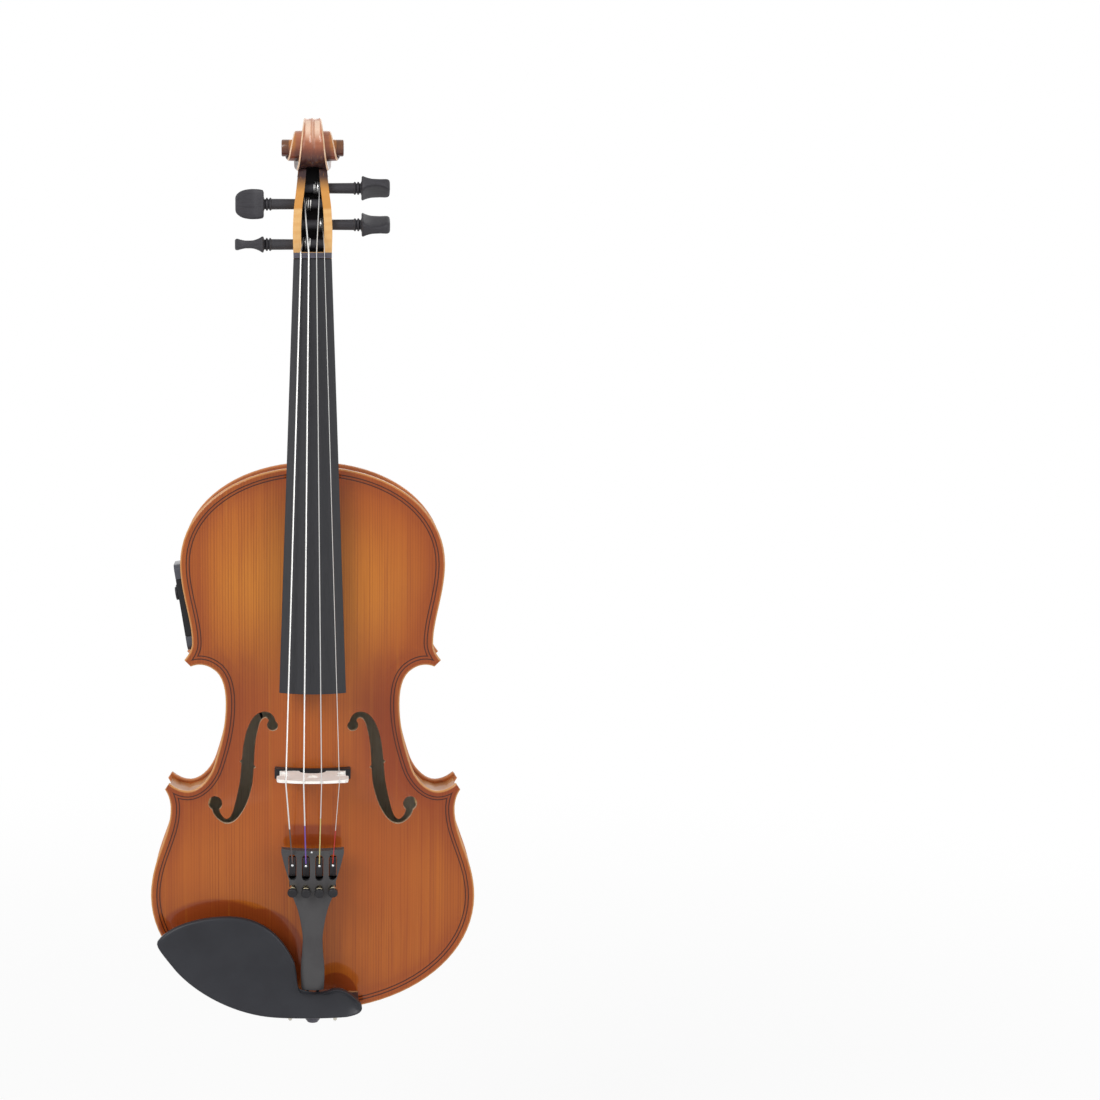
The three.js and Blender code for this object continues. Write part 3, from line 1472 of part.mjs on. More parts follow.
function windingStations(name, nutPoint) {
  const axis = pegAxis(name);
  const radius = stringDiameters[name] / 2;
  const around = pegRadius + radius + seatGap;
  const away = new THREE.Vector2(nutPoint.y - axis.y, nutPoint.z - axis.z);
  const leave = away.angle() - Math.acos(around / away.length());
  const pitch = 2 * radius + windingGap;
  const slotHalf = pegboxForm(axis.z).half - cheekThickness;
  const start = slotHalf - radius - 2 * seatGap;
  const count = windingTurns * windingSteps;
  return Array.from({ length: count + 1 }, (_, i) => {
    const step = count - i;
    const angle = leave - (2 * Math.PI * step) / windingSteps;
    return new THREE.Vector3(
      pegSides[name] * (start - (pitch * step) / windingSteps),
      axis.y + around * Math.cos(angle),
      axis.z + around * Math.sin(angle),
    );
  });
}

function leastSelfGap(stations, diameter) {
  let least = Infinity;
  stations.forEach((point, i) => stations.slice(i + windingSteps / 2).forEach((other) => {
    least = Math.min(least, point.distanceTo(other) - diameter);
  }));
  return least;
}

function stringForm(name) {
  const diameter = stringDiameters[name];
  const lift = diameter / 2 + seatGap;
  const nutX = stringPlace(name, nutStringSpan);
  const bridgeX = stringPlace(name, bridgeStringSpan);
  const tailX = stringPlace(name, tailStringSpan);
  const nutY = boardSurface(nutX, nutStation) - nutRise - lift;
  const nutBack = new THREE.Vector3(nutX, nutY, slotStart);
  const winding = windingStations(name, nutBack);
  console.log(`${name} string: least gap between turns ${leastSelfGap(winding, diameter).toFixed(2)} mm`);
  const bridgeY = -(bridgeBase + bridgeHeight - arcDrop(bridgeCrownRadius, bridgeX)) - lift;
  return tube([
    ...winding,
    nutBack,
    new THREE.Vector3(nutX, nutY, nutStation),
    new THREE.Vector3(bridgeX, bridgeY, bridgeStation + bridgeTopThickness),
    new THREE.Vector3(bridgeX, bridgeY, bridgeStation),
    new THREE.Vector3(tailX, tailpieceLevel(tailX, tunerHook) - lift, tunerHook - tunerLeverDrop / 2),
  ], diameter / 2, 5);
}

// Materials
const finishes = {
  spruce: [0xad6232, 0.28, 0],
  maple: [0x9c5527, 0.3, 0],
  amber: [0xe3b477, 0.35, 0],
  bareWood: [0xd8bd8c, 0.75, 0],
  bridgeWood: [0xf2e8d2, 0.6, 0],
  ebony: [0x3c3b3e, 0.5, 0],
  plastic: [0x35353a, 0.45, 0],
  silverPlastic: [0x9a9ca0, 0.4, 0.3],
  steel: [0xc9ccd0, 0.25, 1],
  nickel: [0xb9b39c, 0.3, 1],
  cork: [0xb98f5e, 0.9, 0],
  cord: [0x2a2a2c, 0.6, 0],
  board: [0x1f5a35, 0.5, 0],
};

function material(name) {
  const [color, roughness, metalness] = finishes[name];
  return new THREE.MeshStandardMaterial({ color, roughness, metalness });
}

const violin = new THREE.Group();
const body = new THREE.Group();
body.position.set(0, -scrollCentre.y, -(scrollCentre.z - scrollRadius * eyeRadiusShare));
violin.add(body);
const preamp = new THREE.Group();
preamp.applyMatrix4(preampPlace);
body.add(preamp);

function part(name, geometry, finish, parent = body) {
  const mesh = new THREE.Mesh(geometry.index ? geometry : welded(geometry), material(finish));
  mesh.name = name;
  parent.add(mesh);
  return mesh;
}

part('belly', bellyPlate(), 'spruce');
part('back_plate', backPlate(), 'maple');
part('rib_lower', lowerRib(), 'maple');
[['left', -1], ['right', 1]].forEach(([word, side]) => {
  const neckRoom = neckMortise();
  const upper = cut(ribStrip('upper', side), neckRoom);
  part(`rib_upper_${word}`, side < 0 ? cut(upper, preampWindow(seatGap), jackRoom(seatGap)) : upper, 'maple');
  part(`rib_waist_${word}`, ribStrip('waist', side), 'maple');
  part(`corner_block_lower_${word}`, cornerBlock('lower', side), 'bareWood');
  part(`corner_block_upper_${word}`, cornerBlock('upper', side), 'bareWood');
});
part('top_block', topBlock(), 'bareWood');
part('bottom_block', bottomBlock(), 'bareWood');
part('belly_lining', lining(-1), 'bareWood');
part('back_lining', lining(1), 'bareWood');
part('bass_bar', bassBar(), 'bareWood');
part('sound_post', soundPost(), 'bareWood');
part('neck_and_scroll', neckAndScroll(), 'amber');
part('fingerboard', fingerboard(), 'ebony');
part('nut', nutBlock(), 'ebony');
part('saddle', saddleForm(), 'ebony');
part('end_button', endButton(), 'ebony');
part('tailgut', tailgutForm(), 'cord');
part('tailpiece', tailpieceForm(), 'plastic');
part('bridge', bridgeForm(), 'bridgeWood');
part('pickup_bar', pickupBar(), 'plastic');
part('pickup_lead', tube(leadRoute(), leadRadius, 6), 'cord');

// Rest turns of the pegs' thumb pieces about their shanks.
const pegTurns = { G: Math.PI / 2, D: 0, A: 0.36 * Math.PI, E: -0.36 * Math.PI };
stringNames.forEach((name) => {
  const peg = part(`peg_${name.toLowerCase()}`, pegForm(name), 'ebony');
  peg.position.copy(pegAxis(name));
  peg.rotation.set(pegTurns[name], 0, pegSides[name] > 0 ? 0 : Math.PI);
  part(`string_${name.toLowerCase()}`, stringForm(name), 'steel');
  part(`tuner_lever_${name.toLowerCase()}`, tunerLever(name), 'nickel');
  part(`tuner_screw_${name.toLowerCase()}`, tunerScrew(name), 'nickel');
});

part('chinrest_plate', chinrestPlate(), 'plastic');
part('clamp_bracket', clampBracket(), 'nickel');
part('clamp_hook', clampHook(), 'nickel');
part('back_cork', backCork(), 'cork');
[['left', -1], ['right', 1]].forEach(([word, side]) => {
  part(`clamp_barrel_${word}`, clampBarrel(side * clampX), 'nickel');
  part(`belly_cork_${word}`, bellyCork(side * lugX), 'cork');
});

part('preamp_housing', preampHousing(), 'plastic', preamp);
part('preamp_cap_upper', preampCap(1), 'silverPlastic', preamp);
part('preamp_cap_lower', preampCap(-1), 'silverPlastic', preamp);
part('volume_knob', preampKnob(1), 'plastic', preamp);
part('tone_knob', preampKnob(-1), 'plastic', preamp);
part('battery_drawer', batteryDrawer(), 'plastic', preamp);
part('coin_cell', coinCell(), 'steel', preamp);
part('preamp_board', circuitBoard(), 'board', preamp);
part('output_jack', outputJack(), 'nickel', preamp);

export default violin;
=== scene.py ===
"""An electric violin, hung upright by its scroll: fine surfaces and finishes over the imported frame."""
import logging
import math
from collections.abc import Sequence
from dataclasses import dataclass, field
from enum import Enum

import bmesh
import bpy
from mathutils import Matrix, Vector


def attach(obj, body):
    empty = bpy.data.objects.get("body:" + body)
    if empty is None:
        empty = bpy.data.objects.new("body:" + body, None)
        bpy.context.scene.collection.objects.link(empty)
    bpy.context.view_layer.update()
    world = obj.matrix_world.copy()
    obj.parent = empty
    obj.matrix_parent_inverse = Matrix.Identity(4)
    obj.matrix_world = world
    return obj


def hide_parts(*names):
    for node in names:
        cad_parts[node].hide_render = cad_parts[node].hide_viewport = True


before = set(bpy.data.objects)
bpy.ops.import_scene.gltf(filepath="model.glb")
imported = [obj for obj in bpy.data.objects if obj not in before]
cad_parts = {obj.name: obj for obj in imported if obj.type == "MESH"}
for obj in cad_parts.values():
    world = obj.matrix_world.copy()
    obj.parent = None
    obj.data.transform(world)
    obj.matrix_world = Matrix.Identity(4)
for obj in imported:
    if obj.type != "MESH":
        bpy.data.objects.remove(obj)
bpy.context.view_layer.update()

MM = 0.001
HANG_Y = 7.593
HANG_Z = 551.18
LOG = logging.getLogger("violin")
WELD = 4e-6
NODE_WELD = 5e-6
SLIVER = 1e-6
SHARP = 36.0
INLAY_MIDDLES = (3.9, 5.8)
RUN_SCALE = 100.0
WHITE = (1.0, 1.0, 1.0)

Pair = tuple[float, float]
Rows = Sequence[Pair]
Triple = tuple[float, float, float]
Mesh = bmesh.types.BMesh


def put(x: float, y: float, z: float) -> Vector:
    """Turns a place on the drawing, in millimetres from the tail edge, into the frame's metres.

    Args:
        x: Across the body, the treble side positive.
        y: Through the body, the back positive.
        z: Along the body from its lower edge.

    Returns:
        The place in the shared frame.
    """
    return Vector((x, y - HANG_Y, z - HANG_Z)) * MM


def mix(low: float, high: float, share: float) -> float:
    """Returns the value a share of the way from low to high."""
    return low + (high - low) * share


def clamp(value: float, low: float, high: float) -> float:
    """Returns the value held between two limits."""
    return max(low, min(high, value))


def stepped(low: float, high: float, steps: int) -> list[float]:
    """Returns evenly stepped values from low to high, one more than the steps."""
    return [mix(low, high, i / steps) for i in range(steps + 1)]


def arc_drop(radius: float, across: float) -> float:
    """Returns how far an arc of a radius has dropped at a distance from its middle."""
    return radius - math.sqrt(radius * radius - across * across)


def read_rows(rows: Rows, at: float) -> float:
    """Reads a table of shares with a smooth curve that never overshoots its rows.

    Args:
        rows: Pairs of a place and its value, in rising order of place.
        at: The place to read.

    Returns:
        The value there, held at the first and last rows outside them.
    """
    if at <= rows[0][0]:
        return rows[0][1]
    if at >= rows[-1][0]:
        return rows[-1][1]
    slopes = [(b[1] - a[1]) / (b[0] - a[0]) for a, b in zip(rows, rows[1:])]
    tangents = [slopes[0]]
    for before, after in zip(slopes, slopes[1:]):
        tangents.append(0.0 if before * after <= 0 else 2 * before * after / (before + after))
    tangents.append(slopes[-1])
    i = max(k for k in range(len(rows) - 1) if rows[k][0] <= at)
    span = rows[i + 1][0] - rows[i][0]
    t = (at - rows[i][0]) / span
    return (
        (2 * t**3 - 3 * t**2 + 1) * rows[i][1]
        + (t**3 - 2 * t**2 + t) * span * tangents[i]
        + (3 * t**2 - 2 * t**3) * rows[i + 1][1]
        + (t**3 - t**2) * span * tangents[i + 1]
    )


def bezier(points: Sequence[Vector], steps: int) -> list[Vector]:
    """Returns the points of a cubic curve, without its first one.

    Args:
        points: The four points that draw it.
        steps: How many steps it is drawn in.

    Returns:
        The points after each step.
    """
    a, b, c, d = points
    run = []
    for i in range(1, steps + 1):
        t = i / steps
        s = 1 - t
        run.append(a * s**3 + b * (3 * s * s * t) + c * (3 * s * t * t) + d * t**3)
    return run


# Node writing


class Value:
    """A socket of a node tree under construction, on which plain maths can be written."""

    def __init__(self, nodes: "Nodes", socket: bpy.types.NodeSocket) -> None:
        """Keeps the socket and the tree that it belongs to."""
        self.nodes = nodes
        self.socket = socket

    def _with(self, operation: str, *others: "Value | float", swap: bool = False) -> "Value":
        """Adds one Math node on this value and others.

        Args:
            operation: The node's operation.
            others: The further inputs.
            swap: Whether this value comes last.

        Returns:
            The result.
        """
        values: list[Value | float] = [self, *others]
        if swap:
            values.reverse()
        return self.nodes.node("ShaderNodeMath", {"operation": operation}, dict(enumerate(values)))

    def __add__(self, other: "Value | float") -> "Value":
        """Returns the sum."""
        return self._with("ADD", other)

    __radd__ = __add__

    def __mul__(self, other: "Value | float") -> "Value":
        """Returns the product."""
        return self._with("MULTIPLY", other)

    __rmul__ = __mul__

    def __sub__(self, other: "Value | float") -> "Value":
        """Returns the difference."""
        return self._with("SUBTRACT", other)

    def __rsub__(self, other: float) -> "Value":
        """Returns a number less this value."""
        return self._with("SUBTRACT", other, swap=True)

    def size(self) -> "Value":
        """Returns the value without its sign."""
        return self._with("ABSOLUTE")

    def wave(self) -> "Value":
        """Returns the value's sine."""
        return self._with("SINE")

    def top(self, other: "Value | float") -> "Value":
        """Returns the greater of two values."""
        return self._with("MAXIMUM", other)

    def span(self, low: float, high: float) -> "Value":
        """Returns 0 below low, 1 above high and a smooth step between; low may be the greater.

        Args:
            low: Where it starts.
            high: Where it ends.

        Returns:
            The step.
        """
        return self.nodes.node(
            "ShaderNodeMapRange",
            {"interpolation_type": "SMOOTHSTEP"},
            {"Value": self, "From Min": low, "From Max": high, "To Min": 0.0, "To Max": 1.0},
        )

    def line(self, middle: float, half: float, soft: float) -> "Value":
        """Returns 1 within half of a middle value, falling to 0 over a soft edge."""
        return (self - middle).size().span(half + soft, half)


class Nodes:
    """A node tree under construction, and the one way that nodes are added to it."""

    def __init__(self, tree: bpy.types.NodeTree) -> None:
        """Keeps the tree."""
        self.tree = tree

    def fill(self, socket: bpy.types.NodeSocket, value: object) -> None:
        """Links a value to a socket, or writes a plain one in it.

        Args:
            socket: The socket.
            value: A value, a number, a colour or a switch.
        """
        if isinstance(value, Value):
            self.tree.links.new(value.socket, socket)
        elif isinstance(value, tuple) and socket.type == "RGBA":
            socket.default_value = (*value, 1.0)
        else:
            socket.default_value = value

    def node(
        self,
        kind: str,
        settings: dict[str, object],
        inputs: dict[str | int, object],
        output: str | int = 0,
    ) -> Value:
        """Adds a node.

        Args:
            kind: The node's type.
            settings: Its own properties, set before its sockets.
            inputs: Values or links by socket name or number.
            output: Which output to return.

        Returns:
            The output as a value.
        """
        node = self.tree.nodes.new(kind)
        for key, setting in settings.items():
            setattr(node, key, setting)
        for key, value in inputs.items():
            self.fill(node.inputs[key], value)
        return Value(self, node.outputs[output])

    def found(self, kind: str) -> bpy.types.Node:
        """Returns the node of a kind that the tree starts with."""
        return next(node for node in self.tree.nodes if node.type == kind)


class Shade(Nodes):
    """A material under construction, with the patterns that finishes are made of."""

    def __init__(self, name: str) -> None:
        """Starts a material with one Principled shader.

        Args:
            name: The material's name.
        """
        self.material = bpy.data.materials.new(name)
        self.material.use_nodes = True
        super().__init__(self.material.node_tree)
        self.shader = self.found("BSDF_PRINCIPLED")
        self.place = self.node("ShaderNodeTexCoord", {}, {}, "Object")

    def blend(self, share: Value, low: Value | Triple, high: Value | Triple) -> Value:
        """Returns a colour between two colours, plain ones given as on a screen.

        Args:
            share: How much of the second colour shows.
            low: The first colour.
            high: The second colour.

        Returns:
            The mixed colour.
        """
        ends = [end if isinstance(end, Value) else linear(*end) for end in (low, high)]
        settings = {"data_type": "RGBA", "clamp_factor": True}
        return self.node("ShaderNodeMix", settings, {0: share, 6: ends[0], 7: ends[1]}, 2)

    def noise(self, scale: Triple, detail: float = 3.0, rough: float = 0.5) -> Value:
        """Returns cloudy noise between 0 and 1 whose grain may be drawn out along an axis.

        Args:
            scale: Its fineness along each axis.
            detail: How many finer layers it has.
            rough: How strong the finer layers are.

        Returns:
            The noise.
        """
        place = self.node("ShaderNodeVectorMath", {"operation": "MULTIPLY"}, {0: self.place, 1: scale})
        inputs = {"Vector": place, "Scale": 1.0, "Detail": detail, "Roughness": rough}
        return self.node("ShaderNodeTexNoise", {}, inputs)

    def axis(self, name: str) -> Value:
        """Returns one coordinate of the place in metres."""
        return self.node("ShaderNodeSeparateXYZ", {}, {0: self.place}, name)

    def edge_run(self) -> Value:
        """Returns the distance from a plate's edge in millimetres, from the plate's own UV map."""
        run = self.node("ShaderNodeUVMap", {"uv_map": "edge"}, {})
        return self.node("ShaderNodeSeparateXYZ", {}, {0: run}, "X") * RUN_SCALE

    def dressed(
        self, colour: Value, height: Value, depth: float, others: dict[str, object]
    ) -> bpy.types.Material:
        """Feeds the shader its colour, its relief and its other sockets.

        Args:
            colour: The base colour.
            height: The relief's pattern, 0 to 1.
            depth: What 1 stands for in the relief, in millimetres.
            others: Values or links by socket name.

        Returns:
            The finished material.
        """
        relief = {"Strength": 1.0, "Distance": depth * MM, "Height": height}
        raised = self.node("ShaderNodeBump", {}, relief, "Normal")
        self.feed({"Base Color": colour, "Normal": raised, **others})
        return self.material

    def feed(self, values: dict[str, object]) -> None:
        """Sets or links the shader's sockets by their names."""
        for name, value in values.items():
            self.fill(self.shader.inputs[name], value)


def linear(red: float, green: float, blue: float) -> Triple:
    """Turns a screen colour of 0 to 255 into the linear colour that shaders take.

    Args:
        red: The screen's red, 0 to 255.
        green: Its green.
        blue: Its blue.

    Returns:
        The linear red, green and blue.
    """

    def one(part: float) -> float:
        """Returns one channel."""
        share = part / 255
        return share / 12.92 if share <= 0.04045 else ((share + 0.055) / 1.055) ** 2.4

    return one(red), one(green), one(blue)


# Finishes


@dataclass(frozen=True)
class Varnish:
    """Clear gloss over coloured wood."""

    coat: float = 0.5
    coat_roughness: float = 0.06
    roughness: float = 0.4
    shine: float = 0.12

    def sockets(self) -> dict[str, float]:
        """Returns the gloss by the shader's socket names.

        Returns:
            Values by socket name.
        """
        return {
            "Roughness": self.roughness,
            "Specular IOR Level": self.shine,
            "Coat Weight": self.coat,
            "Coat Roughness": self.coat_roughness,
        }


def inlay_lines(run: Value) -> Value:
    """Returns 1 on the two dark lines let in along a plate's edge."""
    first, second = (run.line(middle, 0.26, 0.2) for middle in INLAY_MIDDLES)
    return first.top(second)


@dataclass(frozen=True)
class BellyWood:
    """Varnished spruce: fine upright grain, warm patches, two dark inlaid lines along the edge and a painted
    highlight on its round.

    The bands and ovals are places on the belly in metres: the middle, the half width and the soft edge of
    a band, and the middle and the two reaches of an oval. The band just above the tailpiece and the ovals
    round the chinrest are painted reflection and shadow of those two parts.
    """

    golden: Triple = (196, 118, 34)
    warm: Triple = (169, 85, 25)
    # red is the varnish's deeper red, and also the colour of the painted reflection and shadow of the
    # tailpiece and chinrest.
    red: Triple = (138, 58, 22)
    late_wood: Triple = (112, 44, 14)
    # edge is a painted highlight on the plate's rounded edge.
    edge: Triple = (220, 160, 92)
    inlay: Triple = (44, 18, 14)
    varnish: Varnish = Varnish()
    sunlit_band: Triple = (-0.262, 0.012, 0.075)
    waist_band: Triple = (-0.375, 0.01, 0.075)
    waist_treble: Pair = (0.022, 0.044)
    # A band of painted reflection and shadow of the tailpiece, just above it.
    tail_band: Triple = (-0.431, 0.0055, 0.003)
    tail_sides: Pair = (0.0165, 0.019)
    # Ovals of painted reflection and shadow round the chinrest.
    rest_ovals: tuple[tuple[float, float, float, float], ...] = (
        (-0.06, -0.5223, 0.051, 0.047), (-0.034, -0.514, 0.029, 0.0335), (0.015, -0.541, 0.014, 0.016),
    )
    rings_per_mm: float = 0.56

    def _by_chinrest(self, x: Value, z: Value) -> Value:
        """Returns 1 inside the ovals round the chinrest, where its reflection and shadow are painted, and 0
        outside them, with a soft edge.

        Args:
            x: The place across.
            z: The place along.

        Returns:
            The patch.
        """
        ovals = []
        for middle_x, middle_z, reach_x, reach_z in self.rest_ovals:
            across = (x - middle_x) * (1 / reach_x)
            along = (z - middle_z) * (1 / reach_z)
            ovals.append((across * across + along * along).span(1.06, 0.92))
        return ovals[0].top(ovals[1]).top(ovals[2])

    def _zones(self, shade: Shade, run: Value, patches: Value) -> Value:
        """Returns the belly's broad colours: the sunlit middle, the red waist and edge, and the painted
        reflection and shadow of the tailpiece and chinrest.

        Args:
            shade: The material.
            run: The distance from the edge.
            patches: The cloudy noise.

        Returns:
            The colour.
        """
        x, z = shade.axis("X"), shade.axis("Z")
        sunlit = z.line(*self.sunlit_band) * run.span(9.0, 34.0)
        colour = shade.blend(sunlit * 0.7 + patches.span(0.4, 0.75) * 0.4, self.warm, self.golden)
        waist = z.line(*self.waist_band) * run.span(46.0, 16.0) * (x.span(*self.waist_treble) * 0.4 + 0.5)
        # Painted reflection and shadow of the tailpiece and of the chinrest.
        tail = z.line(*self.tail_band) * (1.0 - x.size().span(*self.tail_sides)) * 0.9
        rest = self._by_chinrest(x, z) * 0.9
        for share in (waist, tail, rest, run.span(17.0, 7.0) * 0.42):
            colour = shade.blend(share, colour, self.red)
        return colour

    def make(self) -> bpy.types.Material:
        """Works the finish out as a material.

        Returns:
            The material.
        """
        shade = Shade("belly_varnish")
        run = shade.edge_run()
        patches = shade.noise((11.0, 11.0, 6.0))
        colour = self._zones(shade, run, patches)
        waver = shade.noise((90.0, 30.0, 1.6), 2.0) * 4.5
        pitch = (shade.axis("X").size() * 1000.0 + waver) * self.rings_per_mm
        years = shade.noise((260.0, 90.0, 1.2), 1.0)
        fine = shade.noise((1500.0, 300.0, 8.0), 2.0, 0.6)
        streak = shade.noise((240.0, 60.0, 2.2), 3.0, 0.6)
        rings = (pitch * math.tau).wave().span(-0.1, 1.0)
        late = rings * (years.span(0.3, 0.7) * 0.8 + 0.15) + fine.span(0.45, 0.8) * 0.35
        lines = inlay_lines(run)
        for share, tone in (
            (late * (patches * 0.45 + 0.14), self.late_wood), (streak.span(0.5, 0.78) * 0.45, self.red),
            (streak.span(0.46, 0.2) * 0.35, self.golden), (run.line(4.85, 0.9, 0.3) * 0.3, self.red),
            # The pale edge tone here is a painted highlight on the rounded edge.
            (lines * 0.88, self.inlay), (run.span(1.5, 0.2) * 0.8, self.edge),
        ):
            colour = shade.blend(share, colour, tone)
        return shade.dressed(colour, late * 0.5 + lines * -1.0, 0.02, self.varnish.sockets())


@dataclass(frozen=True)
class FlamedMaple:
    """Varnished maple with a rippling figure across its grain; on a plate, inlaid lines and a painted
    highlight along the edge.
    """

    name: str
    light: Triple
    dark: Triple
    pore: Triple
    # edge, where given, is a painted highlight on a plate's rounded edge.
    edge: Triple | None = None
    inlay: Triple = (58, 32, 26)
    flame: float = 0.55
    varnish: Varnish = Varnish()

    def make(self) -> bpy.types.Material:
        """Works the finish out as a material.

        Returns:
            The material.
        """
        shade = Shade(self.name)
        lean = shade.axis("Z") * 1000.0 + shade.axis("X").size() * 260.0
        wander = shade.noise((34.0, 34.0, 7.0)) * 16.0
        strength = shade.noise((22.0, 22.0, 14.0), 2.0).span(0.25, 0.7)
        figure = ((lean + wander) * 0.78).wave().span(-0.7, 1.0) * strength
        colour = shade.blend(figure * self.flame, self.light, self.dark)
        grain = shade.noise((900.0, 900.0, 26.0), 2.0, 0.6)
        colour = shade.blend(grain.span(0.56, 0.8) * 0.35, colour, self.pore)
        if self.edge is not None:
            run = shade.edge_run()
            colour = shade.blend(inlay_lines(run) * 0.9, colour, self.inlay)
            # A painted highlight on the rounded edge.
            colour = shade.blend(run.span(1.7, 0.3), colour, self.edge)
        return shade.dressed(colour, grain, 0.012, self.varnish.sockets())


@dataclass(frozen=True)
class HeadWood:
    """The neck's maple: pale amber shaft and cheeks, orange above the pegs, a red brown scroll.

    The pairs are the places in metres, along one axis, between which a zone fades in. The scroll's light is
    painted: lighter at its top, painted highlights in its flutes and on its ridge, painted shade under its
    chin.
    """

    pale: Triple = (228, 180, 116)
    gold: Triple = (206, 138, 54)
    # The scroll fades from brown below to salmon at its top: painted light.
    salmon: Triple = (196, 128, 92)
    brown: Triple = (142, 76, 54)
    # dark is also the painted shade under the scroll's chin.
    dark: Triple = (58, 34, 34)
    # A painted highlight in the flutes and on the ridge.
    bright: Triple = (246, 214, 190)
    varnish: Varnish = Varnish(coat=0.6)
    orange_start: Pair = (-0.0335, -0.0315)
    head_start: Pair = (-0.021, -0.009)
    # Where the scroll's painted light fades in, up the scroll.
    salmon_fade: Pair = (0.003, 0.019)
    front: Pair = (-0.001, -0.014)
    crown: Pair = (0.002, -0.005)
    coil_side: Pair = (0.0098, 0.0118)
    coil_start: Pair = (0.0, 0.008)
    eye_side: Pair = (0.0142, 0.0156)
    # Where the flutes' painted highlight lies, and where it starts and ends up the scroll.
    flute: Triple = (0.0029, 0.0012, 0.001)
    flute_start: Pair = (0.0075, 0.0165)
    flute_end: Pair = (0.0228, 0.0212)
    # Where the ridge's painted highlight lies.
    ridge_side: Pair = (0.0012, 0.0002)
    ridge_start: Pair = (0.004, 0.015)
    # Where the painted shade under the chin lies.
    chin_end: Pair = (0.0095, -0.0045)
    chin_side: Pair = (0.0105, 0.0125)

    def make(self) -> bpy.types.Material:
        """Works the finish out as a material.

        Returns:
            The material.
        """
        shade = Shade("neck_varnish")
        x, y, z = shade.axis("X").size(), shade.axis("Y"), shade.axis("Z")
        ripple = ((z * 1000.0 + shade.noise((40.0, 40.0, 9.0)) * 9.0) * 1.1).wave()
        blush = shade.noise((60.0, 60.0, 60.0)) * 0.006
        colour = shade.blend(ripple.span(-0.6, 1.0) * 0.22, self.pale, self.gold)
        colour = shade.blend((z + blush * 0.3).span(*self.orange_start) * 0.8, colour, self.gold)
        # Painted light: the scroll lighter at its top and darker below.
        head = shade.blend((z + blush).span(*self.salmon_fade), self.brown, self.salmon)
        # Painted highlights in the flutes and on the ridge, and painted shade under the chin.
        flute = x.line(*self.flute) * z.span(*self.flute_start) * z.span(*self.flute_end)
        ridge = x.span(*self.ridge_side) * z.span(*self.ridge_start) * y.span(*self.front)
        chin_shade = (z + blush * 0.5).span(*self.chin_end) * (1.0 - x.span(*self.chin_side))
        for share, tone in (
            (ripple.span(0.2, 1.0) * 0.2, self.brown),
            (x.span(*self.coil_side) * z.span(*self.coil_start) * 0.55, self.gold),
            (x.span(*self.eye_side) * 0.75, self.dark),
            (flute * y.span(*self.crown) * 0.9, self.bright),
            (ridge * 0.5, self.bright),
            (chin_shade, self.dark),
        ):
            head = shade.blend(share, head, tone)
        colour = shade.blend((z + blush).span(*self.head_start), colour, head)
        grain = shade.noise((800.0, 800.0, 24.0), 2.0, 0.6)
        colour = shade.blend(grain.span(0.56, 0.8) * 0.3, colour, self.gold)
        return shade.dressed(colour, grain, 0.01, self.varnish.sockets())


@dataclass(frozen=True)
class DarkWood:
    """Dyed black wood with a faint long grain and a silk sheen."""

    name: str
    face: Triple
    pore: Triple
    stretch: Triple = (700.0, 700.0, 14.0)
    roughness: float = 0.5

    def make(self) -> bpy.types.Material:
        """Works the finish out as a material.

        Returns:
            The material.
        """
        shade = Shade(self.name)
        grain = shade.noise(self.stretch, 3.0, 0.65)
        cloud = shade.noise((60.0, 60.0, 12.0), 2.0)
        colour = shade.blend(grain.span(0.45, 0.75) * 0.7, self.face, self.pore)
        colour = shade.blend(cloud.span(0.4, 0.75) * 0.25, colour, self.pore)
        gloss = {"Specular IOR Level": 0.25, "Roughness": cloud * 0.16 + (self.roughness - 0.08)}
        return shade.dressed(colour, grain, 0.03, gloss)


@dataclass(frozen=True)
class Moulded:
    """Moulded plastic or paint with a fine orange-peel skin and slight wear in its gloss."""

    name: str
    face: Triple
    shift: Triple
    roughness: float = 0.45
    skin: float = 0.02
    scale: float = 900.0
    coat: float = 0.0

    def make(self) -> bpy.types.Material:
        """Works the finish out as a material.

        Returns:
            The material.
        """
        shade = Shade(self.name)
        skin = shade.noise((self.scale,) * 3, 2.0)
        cloud = shade.noise((45.0, 45.0, 45.0))
        colour = shade.blend(cloud.span(0.35, 0.7) * 0.6, self.face, self.shift)
        gloss = {"Specular IOR Level": 0.25, "Coat Weight": self.coat}
        gloss["Roughness"] = cloud * 0.14 + (self.roughness - 0.07)
        return shade.dressed(colour, skin, self.skin, gloss)


@dataclass(frozen=True)
class Metal:
    """Turned or plated metal with faint turning marks."""

    name: str
    face: Triple
    tarnish: Triple
    roughness: float = 0.25

    def make(self) -> bpy.types.Material:
        """Works the finish out as a material.

        Returns:
            The material.
        """
        shade = Shade(self.name)
        cloud = shade.noise((160.0, 160.0, 160.0))
        marks = shade.noise((300.0, 300.0, 2600.0), 2.0)
        colour = shade.blend(cloud.span(0.4, 0.75) * 0.5, self.face, self.tarnish)
        gloss = {"Metallic": 1.0, "Roughness": marks * 0.2 + (self.roughness - 0.1)}
        return shade.dressed(colour, marks, 0.006, gloss)


